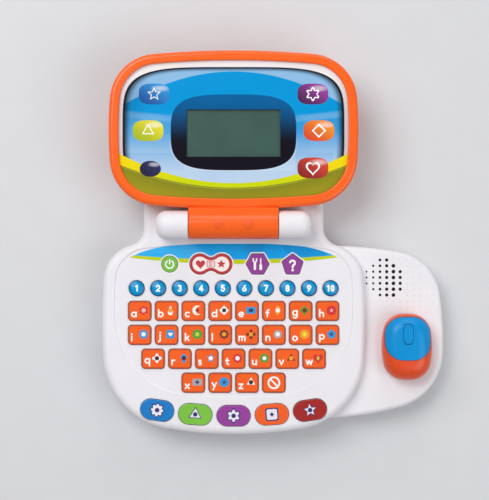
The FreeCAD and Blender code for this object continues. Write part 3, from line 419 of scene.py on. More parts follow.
class Print:
    """A print on a level surface: strokes and filled shapes in several inks."""

    def __init__(self, name, origin, turn=0.0, sag=None, under=False):
        self.name = name
        self.origin = Vector(origin)
        self.turn = Matrix.Rotation(math.pi if under else 0.0, 3, "Y") @ Matrix.Rotation(turn, 3, "Z")
        self.flat = sag is None
        self.sag = sag or (lambda x, y: 0.0)
        self.mesh = bmesh.new()
        self.inks = []
        self.layer = 0

    def ink(self, material):
        if material not in self.inks:
            self.inks.append(material)
        return self.inks.index(material)

    def solid(self, caps, walls, material, level):
        """Closed thin solid from the faces of its top, each a list of places, and its side walls."""
        self.layer += 1
        high = sizes().ink_lift * (1 + LEVEL_STEP * level) + LAYER_STEP * self.layer
        low = -sizes().ink_depth
        corners = {}

        def corner(place, z):
            if (place, z) not in corners:
                spot = self.turn @ Vector((place[0], place[1], z - self.sag(*place)))
                corners[place, z] = self.mesh.verts.new(spot + self.origin)
            return corners[place, z]

        index = self.ink(material)
        faces = []
        for cap in caps:
            faces.append([corner(place, high) for place in cap])
            faces.append([corner(place, low) for place in reversed(cap)])
        for first, second in walls:
            foot = [corner(first, low), corner(second, low)]
            faces.append(foot + [corner(second, high), corner(first, high)])
        for face in faces:
            self.mesh.faces.new(face).material_index = index

    def fill(self, outline, material, size=1.0, place=(0, 0), level=0):
        """Filled outline, scaled to a size and put at a place."""
        ring = [(place[0] + x * size, place[1] + y * size) for x, y in outline]
        area = sum(a[0] * b[1] - b[0] * a[1] for a, b in zip(ring, ring[1:] + ring[:1]))
        if area < 0:
            ring.reverse()
        self.solid([ring], list(zip(ring, ring[1:] + ring[:1])), material, level)

    def stroke(self, path, width, material, level=0, closed=False):
        """Stroke of a steady width along a path, with round ends where it is open."""
        path = self.follow([Vector(point) for point in path])
        count = len(path)
        left, right = [], []
        for index, point in enumerate(path):
            before = path[index - 1] if closed or index else point
            after = path[(index + 1) % count] if closed or index < count - 1 else point
            along = (after - before).normalized()
            side = Vector((-along.y, along.x)) * width / 2
            left.append(tuple(point + side))
            right.append(tuple(point - side))
        pairs = count if closed else count - 1
        caps = []
        walls = []
        for index in range(pairs):
            after = (index + 1) % count
            caps.append([right[index], right[after], left[after], left[index]])
            walls.append((right[index], right[after]))
            walls.append((left[after], left[index]))
        if not closed:
            for end, start_side, end_side in ((0, left, right), (-1, right, left)):
                centre = path[end]
                first = Vector(start_side[end]) - centre
                turns = [Matrix.Rotation(math.pi * step / END_STEPS, 2) for step in range(1, END_STEPS)]
                round_end = [tuple(centre + turn @ first) for turn in turns]
                ring = [start_side[end]] + round_end + [end_side[end]]
                caps.append(ring)
                walls += list(zip(ring, ring[1:]))
        self.solid(caps, walls, material, level)

    def follow(self, path):
        """On a curved surface, the path in short steps, so that a straight stroke follows it."""
        if self.flat:
            return path
        steps = [path[0]]
        for start, end in zip(path, path[1:]):
            count = math.ceil((end - start).length / CURVE_STEP)
            steps += [start.lerp(end, step / count) for step in range(1, count + 1)]
        return steps

    def finish(self, body, slot):
        """Make the print a piece that rides on a body."""
        data = bpy.data.meshes.new(self.name)
        self.mesh.normal_update()
        bmesh.ops.triangulate(self.mesh, faces=[face for face in self.mesh.faces if len(face.verts) > 4])
        self.mesh.to_mesh(data)
        self.mesh.free()
        for material in self.inks:
            data.materials.append(material)
        piece = bpy.data.objects.new(self.name, data)
        bpy.context.scene.collection.objects.link(piece)
        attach(piece, body)


# Letters and digits as strokes, one unit high without the tall strokes

BOWL = points_on_arc(0.5, 0.5, 0.4, 0, 348)
DOT = "dot"
DOT_SHARE = 0.62
LOOP_POINTS = 20
LOOP_GAP = 0.2
ARCH = points_on_arc(0.47, 0.55, 0.35, 180, 0)

GLYPHS = {
    "a": [BOWL, [(0.9, 0.9), (0.9, 0.1)]],
    "b": [BOWL, [(0.1, 1.4), (0.1, 0.1)]],
    "c": [points_on_arc(0.5, 0.5, 0.4, 50, 310)],
    "d": [BOWL, [(0.9, 1.4), (0.9, 0.1)]],
    "e": [points_on_arc(0.5, 0.5, 0.4, 0, 310), [(0.14, 0.5), (0.9, 0.5)]],
    "f": [
        [(0.35, 0.1), (0.35, 1.12)], points_on_arc(0.6, 1.12, 0.25, 180, 75),
        [(0.1, 0.85), (0.62, 0.85)],
    ],
    "g": [BOWL, [(0.9, 0.9), (0.9, -0.05)], points_on_arc(0.52, -0.05, 0.38, 0, -140)],
    "h": [[(0.12, 1.4), (0.12, 0.1)], ARCH, [(0.82, 0.55), (0.82, 0.1)]],
    "i": [[(0.3, 0.9), (0.3, 0.1)], (DOT, 0.3, 1.3)],
    "j": [[(0.45, 0.9), (0.45, -0.1)], points_on_arc(0.2, -0.1, 0.25, 0, -100), (DOT, 0.45, 1.3)],
    "k": [[(0.12, 1.4), (0.12, 0.1)], [(0.72, 0.9), (0.15, 0.45)], [(0.38, 0.62), (0.76, 0.1)]],
    "l": [[(0.3, 1.4), (0.3, 0.1)]],
    "m": [
        [(0.1, 0.9), (0.1, 0.1)], points_on_arc(0.37, 0.62, 0.27, 180, 0), [(0.64, 0.62), (0.64, 0.1)],
        points_on_arc(0.91, 0.62, 0.27, 180, 0), [(1.18, 0.62), (1.18, 0.1)],
    ],
    "n": [[(0.12, 0.9), (0.12, 0.1)], ARCH, [(0.82, 0.55), (0.82, 0.1)]],
    "o": [BOWL],
    "p": [BOWL, [(0.1, 0.9), (0.1, -0.4)]],
    "q": [BOWL, [(0.9, 0.9), (0.9, -0.4)]],
    "r": [[(0.15, 0.9), (0.15, 0.1)], points_on_arc(0.5, 0.55, 0.35, 180, 65)],
    "s": [points_on_arc(0.45, 0.7, 0.2, 40, 270), points_on_arc(0.45, 0.29, 0.21, 90, -140)],
    "t": [
        [(0.35, 1.25), (0.35, 0.33)], points_on_arc(0.58, 0.33, 0.23, 180, 290),
        [(0.1, 0.85), (0.65, 0.85)],
    ],
    "u": [
        [(0.12, 0.9), (0.12, 0.45)], points_on_arc(0.47, 0.45, 0.35, 180, 360),
        [(0.82, 0.9), (0.82, 0.1)],
    ],
    "v": [[(0.08, 0.9), (0.45, 0.1)], [(0.45, 0.1), (0.82, 0.9)]],
    "w": [
        [(0.05, 0.9), (0.32, 0.1)], [(0.32, 0.1), (0.6, 0.85)],
        [(0.6, 0.85), (0.88, 0.1)], [(0.88, 0.1), (1.15, 0.9)],
    ],
    "x": [[(0.1, 0.9), (0.8, 0.1)], [(0.8, 0.9), (0.1, 0.1)]],
    "y": [[(0.1, 0.9), (0.47, 0.12)], [(0.85, 0.9), (0.28, -0.4)]],
    "z": [[(0.12, 0.9), (0.78, 0.9)], [(0.78, 0.9), (0.12, 0.1)], [(0.12, 0.1), (0.78, 0.1)]],
    "1": [[(0.22, 1.1), (0.52, 1.35)], [(0.52, 1.35), (0.52, 0.05)]],
    "2": [
        points_on_arc(0.5, 0.96, 0.38, 165, -40), [(0.79, 0.72), (0.12, 0.05)],
        [(0.12, 0.05), (0.9, 0.05)],
    ],
    "3": [points_on_arc(0.48, 1.02, 0.32, 150, -90), points_on_arc(0.48, 0.37, 0.34, 90, -150)],
    "4": [[(0.66, 0.05), (0.66, 1.35)], [(0.66, 1.35), (0.08, 0.42)], [(0.08, 0.42), (0.95, 0.42)]],
    "5": [
        [(0.82, 1.35), (0.26, 1.35)], [(0.26, 1.35), (0.21, 0.78)],
        points_on_arc(0.47, 0.46, 0.4, 130, -150),
    ],
    "6": [points_on_arc(0.5, 0.42, 0.37, 0, 348), [(0.7, 1.35), (0.18, 0.62)]],
    "7": [[(0.1, 1.35), (0.85, 1.35)], [(0.85, 1.35), (0.36, 0.05)]],
    "8": [points_on_arc(0.5, 1.05, 0.29, 0, 348), points_on_arc(0.5, 0.39, 0.34, 0, 348)],
    "9": [points_on_arc(0.5, 0.98, 0.37, 0, 348), [(0.82, 0.78), (0.3, 0.05)]],
    "0": [points_on_arc(0.5, 0.7, 0.37, 0, 348, 1.75)],
    "?": [points_on_arc(0.5, 1.02, 0.33, 165, -75), [(0.58, 0.7), (0.52, 0.42)], (DOT, 0.52, 0.06)],
}
DIGIT_UNITS = 1.4


def glyph_span(glyph):
    """Left and right ends of a glyph's strokes."""
    reach = [point[0] for stroke in GLYPHS[glyph] if stroke[0] != DOT for point in stroke]
    return min(reach), max(reach)


def write(sheet, glyph, unit, stroke_width, place, material, squeeze=1.0):
    """Put a glyph on a print with its left end and foot at a place."""
    left, _ = glyph_span(glyph)
    for stroke in GLYPHS[glyph]:
        if stroke[0] == DOT:
            spot = (place[0] + (stroke[1] - left) * unit * squeeze, place[1] + stroke[2] * unit)
            sheet.fill(OUTLINES["disc"], material, stroke_width * DOT_SHARE, spot)
            continue
        path = [(place[0] + (x - left) * unit * squeeze, place[1] + y * unit) for x, y in stroke]
        gap = (Vector(path[0]) - Vector(path[-1])).length
        loop = len(path) > LOOP_POINTS and gap < LOOP_GAP * unit
        sheet.stroke(path, stroke_width, material, closed=loop)


# What each letter key shows beside its letter: an outer shape, an inner shape and their inks

PICTURES = {
    "a": ("flower", "red", "disc", "rose"),
    "b": ("drop", "white", "disc", "amber"),
    "c": ("moon", "white", "star", "dark"),
    "d": ("diamond", "white", "square", "dark"),
    "e": ("card", "sky", "card", "navy"),
    "f": ("leaf", "amber", "disc", "white"),
    "g": ("clover", "leaf", "disc", "brown"),
    "h": ("disc", "red", "star", "rose"),
    "i": ("hexagon", "sky", "disc", "white"),
    "j": ("square", "sky", "heart", "white"),
    "k": ("disc", "leaf", "disc", "lime"),
    "l": ("cog", "brown", "disc", "amber"),
    "m": ("cross", "brown", "square", "amber"),
    "n": ("sun", "grey", "disc", "white"),
    "o": ("disc", "amber", "disc", "lemon"),
    "p": ("pentagon", "sky", "star", "navy"),
    "q": ("clover", "white", "disc", "dark"),
    "r": ("arrow", "sky", "disc", "navy"),
    "s": ("star", "sky", "disc", "white"),
    "t": ("cog", "red", "disc", "white"),
    "u": ("hexagon", "leaf", "hexagon", "white"),
    "v": ("triangle", "brown", "disc", "amber"),
    "w": ("heart", "red", "leaf", "lime"),
    "x": ("card", "grey", "cross", "navy"),
    "y": ("disc", "sky", "star", "navy"),
    "z": ("triangle", "white", "disc", "dark"),
}
INKS = {
    "white": "F6F4F2", "red": "D2222B", "rose": "F4B3AE", "lemon": "F6DC2E", "amber": "F09A1A",
    "sky": "1C93D4", "navy": "20255C", "leaf": "4F9A2E", "lime": "B7D43A", "brown": "6E2B14",
    "grey": "A7A6AB", "dark": "2A2022",
}


# Finishes. A soft step is a pair: where it lies and half the width of its blur

FINE_SCALE = 5200.0
PRINT_EDGE = (0.0, 0.15)
SEAM = (0.16, 0.08)
FIELD_LEVEL = (0.1, 0.05)
SWOOSH_LOWER = (32.7, 5.2, 86.0)
SWOOSH_UPPER = (28.8, 3.4, 83.4)
SWOOSH_BACK = (15.5, -9.0, 82.0)
BLOCK = (26.0, 7.5)
BLOCK_SLANT = -0.6
BLOCK_STEP = (38.0, 4.0)


def bowed(u, line, power=2.0):
    """Height of a line that bows by some millimetres at a distance from the middle."""
    top, bow, reach = line
    return top - abs(u / reach) ** power * bow


def seam_line(z, level):
    """Thin line round the outside, where two shells meet."""
    return abs(millimetres(z, level)).below(*SEAM)


def shell_finish():
    """White plastic of the base, with the printed band behind the function keys and a seam line."""
    made = Finish("shell_white", roughness=0.42, coat=0.05, specular=0.24)
    _, x, y, z = made.place()
    palette = colours()
    u = millimetres(x, BODY_X)
    w = (HINGE.y - y) / MM
    level = abs(millimetres(z, FIELD_Z)).below(*FIELD_LEVEL)
    blocks = made.bricks(tone("30B6F6"), tone("46BEFA"), BLOCK, 0.37, {"Bias": -0.15})
    deep = made.mix(made.noise(24.0).above(0.5, 0.02), tone("00A2EE"), tone("0096DE"))
    band = made.mix((u * BLOCK_SLANT + w).above(*BLOCK_STEP) * 0.8, deep, blocks)
    lime = (w - bowed(u, SWOOSH_UPPER)).above(*PRINT_EDGE)
    inside = (w - bowed(u, SWOOSH_LOWER)).below(*PRINT_EDGE) * level
    inside = inside * (w - bowed(u, SWOOSH_BACK, 4.0)).above(*PRINT_EDGE)
    printed = made.mix(inside, palette.shell, made.mix(lime, band, palette.print_lime))
    seam = seam_line(z, SHELL_PART_Z)
    return made.moulded(made.mix(seam * 0.5, printed, tone("8E8B95")), sheen=0.035)


def lid_finish():
    """Glossy orange plastic of the lid, with a seam line round it."""
    made = Finish("lid_orange", roughness=0.24, coat=0.2, specular=0.35)
    seam = seam_line(made.place()[3], LID_PART_Z)
    return made.moulded(made.mix(seam * 0.6, colours().lid, tone("8C2F08")), sheen=0.05)


def plain_finish(name, colour, roughness=0.45, coat=0.0, sheen=0.06, grain=SKIN_SCALE):
    """Plastic or rubber of one colour."""
    return Finish(name, roughness, coat).moulded(colour, sheen, grain)


# Painted highlight on the rounded edge of a key and painted shade at its foot, counted down from its top
# in millimetres
BEVEL_HIGHLIGHT_START = (0.06, 0.05)
BEVEL_HIGHLIGHT_END = (0.34, 0.1)
KEY_FOOT_SHADE = (0.45, 0.16)
# Painted highlight over the top of a number dome and painted shade at its rim, counted down from its top
# in millimetres
DOME_SHADE = (0.75, 0.5)
DOME_FOOT_SHADE = (1.12, 0.22)


def key_finish(name, colour, edge, top):
    """Moulded key with a painted highlight on its rounded edge and painted shade at the foot of it."""
    made = Finish(name, roughness=0.36, coat=0.08, specular=0.35)
    depth = (top - made.place()[3]) / MM
    # Painted highlight on the rounded edge, painted shade at the foot
    light = made.mix(0.16, colour, WHITE)
    bevel_highlight = depth.above(*BEVEL_HIGHLIGHT_START) * depth.below(*BEVEL_HIGHLIGHT_END)
    highlighted = made.mix(bevel_highlight * 0.5, colour, light)
    return made.moulded(made.mix(depth.above(*KEY_FOOT_SHADE), highlighted, edge), sheen=0.05)


def number_finish():
    """Blue glossy domes, with a painted highlight on top and painted shade that darkens them to their
    rims.
    """
    made = Finish("number_blue", roughness=0.2, coat=0.05, specular=0.22)
    palette = colours()
    depth = (top_of("number_keys") - made.place()[3]) / MM
    # Painted highlight on top of the dome, painted shade towards its rim
    dome = made.mix(depth.above(*DOME_SHADE), tone("0099D4"), palette.number_key)
    return made.moulded(made.mix(depth.above(*DOME_FOOT_SHADE), dome, palette.number_edge), sheen=0.04)


WINDOW_HALF = (90.8, 51.2)
WINDOW_POWER = 4.3
SURROUND_HALF = (52.2, 31.6)
SURROUND_DROP = -2.4
SURROUND_POWER = 3.4
STRIPE_TOP = (-44.6, -25.0, 96.0)
STRIPE_DEPTH = (3.8, -5.4, 96.0)
SKY_ARC = (48.3, 27.0, 90.0)
GLEAM_ARC = (7.0, -6.0, 90.0)
PANEL_BLOCK = (31.0, 15.0)
PANEL_BLOCK_FADE = (10.0, 5.0)
FIELD_FADE = (-18.5, 22.5)
SKY_EDGE = (0.0, 0.25)
WINDOW_SHADE = (0.87, 0.13)
CORNER_SIDE = (-78.0, 10.0)
CORNER_TOP = (8.0, 10.0)
GLEAM_HALF = (2.6, 1.4)
GLEAM_SIDE = (50.0, 14.0)
WINDOW_LINE = (0.985, 0.02)
SURROUND_GLOW = (1.06, 0.05)
GLOW_FADE = (-12.0, 10.0)
SURROUND_EDGE = (1.0, 0.02)
BEZEL_FADE = (8.0, 20.0)
BORDER_EDGE = (1.07, 0.025)
BORDER_SIDE = (84.0, 9.0)
BORDER_FADE = (30.0, 30.0)
STRIPE_ENDS = (62.0, 26.0)
OLIVE_FADE = (7.0, 9.0)
OLIVE_LIGHT = (1.3, 0.4)
OLIVE_DARK = (0.6, 0.25)
CELL = (0.9, 0.9)
CELL_LINES = {"Mortar Size": 0.05, "Mortar Smooth": 0.3}
FRAME_SHADOW = (-1.6, 1.6)


def soft_box(u, v, half, power):
    """1 on the outline of a soft rectangle, less inside it."""
    return abs(u / half[0]) ** power + abs(v / half[1]) ** power


def panel_finish():
    """Printed sheet of the display: white border, blue field, lime stripe over an olive field, with
    painted shade down the sides of the white border.
    """
    made = Finish("panel_print", roughness=0.22, coat=0.04, specular=0.14)
    _, x, y, _ = made.place()
    palette = colours()
    u = millimetres(x, BODY_X)
    v = millimetres(y, LID_Y)
    field = made.mix(v.below(*FIELD_FADE), palette.print_blue, palette.print_pale)
    blocks = made.bricks(tone("0A92DE"), tone("D9EAF8"), PANEL_BLOCK, 0.41, {})
    field = made.mix(v.below(*PANEL_BLOCK_FADE) * 0.12, field, blocks)
    field = made.mix((v - bowed(u, SKY_ARC)).above(*SKY_EDGE), field, tone("8DBBE2"))
    edge = soft_box(u, v, WINDOW_HALF, WINDOW_POWER)
    gleam = abs(v - bowed(u, GLEAM_ARC)).below(*GLEAM_HALF) * abs(u).above(*GLEAM_SIDE)
    field = made.mix(gleam * 0.2, field, tone("BFE0F4"))
    corner = u.below(*CORNER_SIDE) * v.above(*CORNER_TOP)
    field = made.mix(corner * 0.3, field, tone("063B63"))
    field = made.mix(edge.above(*WINDOW_SHADE) * 0.85, field, palette.print_dark)
    field = made.mix(edge.above(*WINDOW_LINE), field, tone("0B0A14"))
    surround = soft_box(u, v - SURROUND_DROP, SURROUND_HALF, SURROUND_POWER)
    glow = surround.below(*SURROUND_GLOW) * v.below(*GLOW_FADE)
    field = made.mix(glow * 0.35, field, tone("F4F6FA"))
    bezel = made.mix(v.below(*BEZEL_FADE), tone("05609C"), palette.print_dark)
    field = made.mix(surround.below(*SURROUND_EDGE), field, bezel)
    # Painted shade on the sides of the white border, fading towards the top
    border_shade = abs(u).above(*BORDER_SIDE) * v.below(*BORDER_FADE)
    border = made.mix(border_shade * 0.5, tone("F1EDEE"), tone("B4A8AC"))
    sheet = made.mix(edge.above(*BORDER_EDGE), field, border)
    depth = bowed(u, STRIPE_TOP) - v
    past = depth - bowed(u, STRIPE_DEPTH)
    stripe = made.mix(abs(u).above(*STRIPE_ENDS), tone("CBD70D"), palette.print_yellow)
    olive = made.mix(past.above(*OLIVE_FADE), tone("868520"), palette.print_olive)
    olive = made.mix(past.below(*OLIVE_LIGHT) * 0.6, olive, tone("B9BE3A"))
    olive = made.mix(past.below(*OLIVE_DARK) * 0.7, olive, tone("5E6614"))
    ground = made.mix(past.above(*PRINT_EDGE), stripe, olive)
    return made.moulded(made.mix(depth.above(*PRINT_EDGE), sheet, ground), sheen=0.03)


def display_finish():
    """Unlit liquid crystal: grey-green with a faint grid of cells and a shadow from the frame."""
    made = Finish("display_cells", roughness=0.35)
    lcd = colours().lcd
    grid = made.bricks(lcd, lcd, CELL, 0.0, CELL_LINES | {"Mortar": tone("2C4E45")})
    shadow = millimetres(made.place()[2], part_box("display_lens")[1].y).above(*FRAME_SHADOW)
    return made.moulded(made.mix(shadow * 0.5, grid, tone("22382F")), sheen=0.08)


def window_finish():
    """Clear window: see-through, with a reflection that grows towards its flat sides."""
    made = Finish("clear_window")
    clear = made.signal("ShaderNodeBsdfTransparent")
    gloss = made.signal("ShaderNodeBsdfGlossy", None, {"Roughness": 0.05})
    slant = made.signal("ShaderNodeLayerWeight", None, {"Blend": 0.06}, "Facing")
    blend = made.signal("ShaderNodeMixShader", None, {0: slant, 1: clear, 2: gloss})
    made.feed(made.tree.nodes["Material Output"].inputs["Surface"], blend)
    made.tree.nodes.remove(made.shader)
    return made.material


def steel_finish():
    """Zinc-plated steel with stains in the plating and a fine grain."""
    made = Finish("zinc_steel", roughness=0.35)
    stain = made.noise(420.0, 4.0)
    made.shader.inputs["Metallic"].default_value = 1.0
    made.paint(
        base_color=made.mix(stain, tone("9FA2A4"), tone("D3D5D6")),
        roughness=0.25 + 0.3 * stain,
    )
    made.relief(made.noise(FINE_SCALE), SKIN_DEPTH)
    return made.material


SPOT_PLACE = (0.2, 0.27)
SPOT_TIGHT = (2.4, 9.0)
SPOT_EDGE = (0.1, 0.22)


def badge_finish(name, dark, colour, centre, size):
    """Printed badge that brightens to its upper right, with a soft light spot there."""
    made = Finish(name, roughness=0.18, coat=0.5)
    _, x, y, _ = made.place()
    u = millimetres(x, centre[0]) / size[0]
    v = millimetres(y, centre[1]) / size[1]
    light = made.mix((u + v).above(0.1, 0.9), dark, colour)
    aside = (u - SPOT_PLACE[0]) ** 2.0 * SPOT_TIGHT[0]
    above = (v - SPOT_PLACE[1]) ** 2.0 * SPOT_TIGHT[1]
    spot = (aside + above).below(*SPOT_EDGE)
    return made.moulded(made.mix(spot * 0.55, light, WHITE), sheen=0.03)


def ink_finish(name, colour):
    """Printing ink."""
    return plain_finish("ink_" + name, colour, roughness=0.5, sheen=0.04, grain=FINE_SCALE)


# Steps that dress the pieces. Sizes of prints are in millimetres


def dress(material, *nodes):
    """Give CAD nodes a finish in place of their plain one."""
    for node in nodes:
        slots = NODES[node].data.materials
        slots.clear()
        slots.append(material)


class LAPTOP_OT_shells(bpy.types.Operator):
    """White shells of the base with their printed band, and the battery door"""

    bl_idname = "laptop.shells"
    bl_label = "Shells"

    def execute(self, context):
        dress(shell_finish(), "base_top_shell", "base_bottom_shell", "battery_door")
        return {"FINISHED"}


EMBLEM_HALF = (19.5, 11.8)
EMBLEM_LINE = 0.9
EMBLEM_STAR = 7.6
EMBLEM_DROP = -0.4


class LAPTOP_OT_lid(bpy.types.Operator):
    """Orange lid with its printed panel, display, window and plain badge"""

    bl_idname = "laptop.lid"
    bl_label = "Lid"

    def execute(self, context):
        dress(lid_finish(), "lid_front_frame", "lid_back_cover")
        dress(plain_finish("plug_orange", tone("F65C12"), 0.3, 0.2), "tab_plugs")
        dress(panel_finish(), "display_panel")
        dress(display_finish(), "lcd_module")
        dress(window_finish(), "display_lens")
        dress(plain_finish("badge_white", tone("EFEDF1"), 0.2, 0.4, 0.03), "lid_badge")
        centre = middle("lid_badge")
        place = (centre.x, centre.y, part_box("lid_badge")[0].z)
        emblem = Print("print_lid_badge", place, under=True)
        ring = scaled([(x * EMBLEM_HALF[0], y * EMBLEM_HALF[1]) for x, y in OUTLINES["disc"]])
        ring_ink = ink_finish("badge_ring", colours().print_blue)
        emblem.stroke(ring, EMBLEM_LINE * MM, ring_ink, closed=True)
        star_ink = ink_finish("badge_star", colours().lid)
        emblem.fill(OUTLINES["star"], star_ink, EMBLEM_STAR * MM, (0, EMBLEM_DROP * MM))
        emblem.finish("lid", "badge_white")
        return {"FINISHED"}


# Share of its own colour left in the painted shade at the foot of a function key
KEY_FOOT_SHADE_SHARE = 0.35


class LAPTOP_OT_keys(bpy.types.Operator):
    """Moulded plastics of all keys"""

    bl_idname = "laptop.keys"
    bl_label = "Keys"

    def execute(self, context):
        palette = colours()
        dress(key_finish("key_orange", palette.letter_key, palette.key_edge, LETTER_TOP), *LETTER_KEYS)
        dress(number_finish(), "number_keys")
        function_colours = (palette.green, palette.red, palette.purple, palette.purple)
        for key, colour in zip(FUNCTION_KEYS, function_colours):
            # Painted shade for the foot of the key
            edge = darker(colour, KEY_FOOT_SHADE_SHARE)
            dress(key_finish(key + "_plastic", colour, edge, LETTER_TOP), key)
        mode_colours = (
            palette.mode_blue, palette.green, palette.purple, palette.mode_orange, palette.dark_red,
        )
        for key, colour in zip(MODE_KEYS, mode_colours):
            dress(key_finish(key + "_plastic", colour, palette.mode_edge, MODE_TOP), key)
        return {"FINISHED"}


LETTER_PLACE = (-6.6, -5.2)
DESCENDERS = "gjpqy"
DESCENDER_LIFT = 1.3
PICTURE_PLACE = (3.3, 0.5)
INNER_SHARE = 0.45
# Painted shade line round the top of a letter key: its size, corner radius and width
KEY_RIM = (17.9, 15.1)
KEY_RIM_R = 1.7
KEY_RIM_WIDTH = 0.75
CLEAR_RING = (4.6, 1.5)
CLEAR_BAR = (3.2, 1.4)


class LAPTOP_OT_letters(bpy.types.Operator):
    """Letters and small plain pictures on the letter keys, the sign on the clear key, and a painted shade
    line round the top of each of these keys
    """

    bl_idname = "laptop.letters"
    bl_label = "Letters"

    def execute(self, context):
        size = sizes()
        white = ink_finish("white", colours().ink)
        # Dark orange for the painted shade line round each key's top
        gap_shade = ink_finish("key_rim", tone("A8431A"))
        inks = {name: ink_finish("picture_" + name, tone(code)) for name, code in INKS.items()}
        for letter in LETTERS:
            key = "key_" + letter
            sheet = self.rimmed(key, gap_shade)
            foot = LETTER_PLACE[1] + (DESCENDER_LIFT if letter in DESCENDERS else 0.0)
            place = (LETTER_PLACE[0] * MM, foot * MM)
            write(sheet, letter, size.letter_height, size.letter_stroke, place, white)
            outer, outer_ink, inner, inner_ink = PICTURES[letter]
            spot = (PICTURE_PLACE[0] * MM, PICTURE_PLACE[1] * MM)
            half = size.picture_size / 2
            sheet.fill(OUTLINES[outer], inks[outer_ink], half, spot)
            sheet.fill(OUTLINES[inner], inks[inner_ink], half * INNER_SHARE, spot, level=1)
            sheet.finish(key, "key_orange")
        sheet = self.rimmed("key_clear", gap_shade)
        radius, width = CLEAR_RING
        sheet.stroke(scaled(OUTLINES["disc"], radius * MM), width * MM, white, closed=True)
        reach, width = CLEAR_BAR
        sheet.stroke(scaled([(-reach, reach), (reach, -reach)]), width * MM, white)
        sheet.finish("key_clear", "key_orange")
        return {"FINISHED"}

    @staticmethod
    def rimmed(key, ink):
        """A print for a key, begun with a painted shade line round the key's top, for the shade in the
        gap round the key.
        """
        centre = middle(key)
        sheet = Print("print_" + key, (centre.x, centre.y, LETTER_TOP))
        path = []
        for turn, x, y in ((0, 1, 1), (90, -1, 1), (180, -1, -1), (270, 1, -1)):
            reach = [x * (KEY_RIM[0] / 2 - KEY_RIM_R), y * (KEY_RIM[1] / 2 - KEY_RIM_R)]
            path += points_on_arc(*reach, KEY_RIM_R, turn, turn + 90)
        sheet.stroke(scaled(path), KEY_RIM_WIDTH * MM, ink, closed=True)
        return sheet


NUMBER_FLANGE_R = 7.65 * MM
NUMBER_R = 6.5 * MM
NUMBER_DOME = 1.3 * MM
DIGIT_STROKE = 1.35 * MM
DIGIT_GAP = 0.9 * MM + DIGIT_STROKE
DIGIT_SQUEEZE = {1: 0.95, 2: 0.8}


class LAPTOP_OT_numbers(bpy.types.Operator):
    """Digits on the domes of the number keys"""

    bl_idname = "laptop.numbers"
    bl_label = "Numbers"

    def execute(self, context):
        size = sizes()
        low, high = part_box("number_keys")
        pitch = (high.x - low.x - 2 * NUMBER_FLANGE_R) / (NUMBER_COUNT - 1)
        ball = (NUMBER_R ** 2 + NUMBER_DOME ** 2) / (2 * NUMBER_DOME)

        def sag(x, y):
            """How far the dome lies below its top at a place."""
            reach = x - (round(x / pitch - 0.5) + 0.5) * pitch
            return ball - math.sqrt(ball ** 2 - reach ** 2 - y ** 2)

        centre = middle("number_keys")
        sheet = Print("print_number_keys", (centre.x, centre.y, high.z), sag=sag)
        white = ink_finish("digit", colours().ink)
        unit = size.digit_height / DIGIT_UNITS
        for index in range(NUMBER_COUNT):
            digits = str(index + 1)
            squeeze = DIGIT_SQUEEZE[len(digits)]
            spans = [glyph_span(digit) for digit in digits]
            widths = [(right - left) * unit * squeeze for left, right in spans]
            whole = sum(widths) + DIGIT_GAP * (len(digits) - 1)
            x = (index - (NUMBER_COUNT - 1) / 2) * pitch - whole / 2
            for digit, width in zip(digits, widths):
                write(sheet, digit, unit, DIGIT_STROKE, (x, -size.digit_height / 2), white, squeeze)
                x += width + DIGIT_GAP
        sheet.finish("number_keys", "number_blue")
        return {"FINISHED"}


RIM_GAP = 0.95
RIM_WIDTH = 0.95
POWER_R = 6.8
NAME_END_R = 8.6
NAME_END_X = 9.2
NAME_WAIST = 5.4
HEXAGON_HALF = 8.6
PENTAGON_HALF = 7.7
POLYGON_ROUND = 1.6
HELP_FLANGE = 1.15
NAME_BORDER = 2.3
NAME_SIGN = 3.9
NAME_SIGN_X = 8.8
NAME_CARD = (6.4, 5.0, 8.0)
NAME_CARD_LINE = 0.6
NAME_ROWS = ((-1.3, 0.9), (0.0, 1.7), (1.3, 0.9))
NAME_ROW_START = -1.7
NAME_ROW_LINE = 0.55
HELP_UNIT = 6.2
HELP_LINE = 1.75
HELP_PLACE = (-2.1, -4.6)


def bone(grow):
    """Outline of the long key, two round ends joined by a waist, grown by some millimetres."""
    waist_r = (NAME_END_X ** 2 + NAME_WAIST ** 2 - NAME_END_R ** 2) / (2 * (NAME_END_R - NAME_WAIST))
    hollow = NAME_WAIST + waist_r
    lean = math.degrees(math.atan2(hollow, -NAME_END_X))
    end = NAME_END_R + grow
    right = points_on_arc(NAME_END_X, 0, end, -lean, lean)
    top = points_on_arc(0, hollow, waist_r - grow, lean - 180, -lean)[1:-1]
    half = right + top
    return half + [(-x, -y) for x, y in half]


def round_polygon(sides, half, turn):
    """Outline of a regular polygon with rounded corners, from the distance to its flats."""
    reach = (half - POLYGON_ROUND) / math.cos(math.pi / sides)
    points = []
    for step in range(sides):
        angle = 360 * step / sides + turn
        x, y = reach * math.cos(math.radians(angle)), reach * math.sin(math.radians(angle))
        points += points_on_arc(x, y, POLYGON_ROUND, angle - 180 / sides, angle + 180 / sides)
    return points


POWER_STROKES = (
    (points_on_arc(0, -0.2, 3.3, 125, 415), 1.25),
    ([(0, 3.6), (0, 0.2)], 1.25),
)
TOOL_STROKES = (
    ([(-2.3, -4.1), (-2.3, 1.2)], 2.0),
    ([(-2.3, 1.0), (-3.7, 2.6), (-3.7, 4.5)], 1.2),
    ([(-2.3, 1.0), (-0.9, 2.6), (-0.9, 4.5)], 1.2),
    ([(2.6, 4.6), (2.6, -0.4)], 1.0),
    ([(2.6, -1.2), (2.6, -4.0)], 2.3),
)


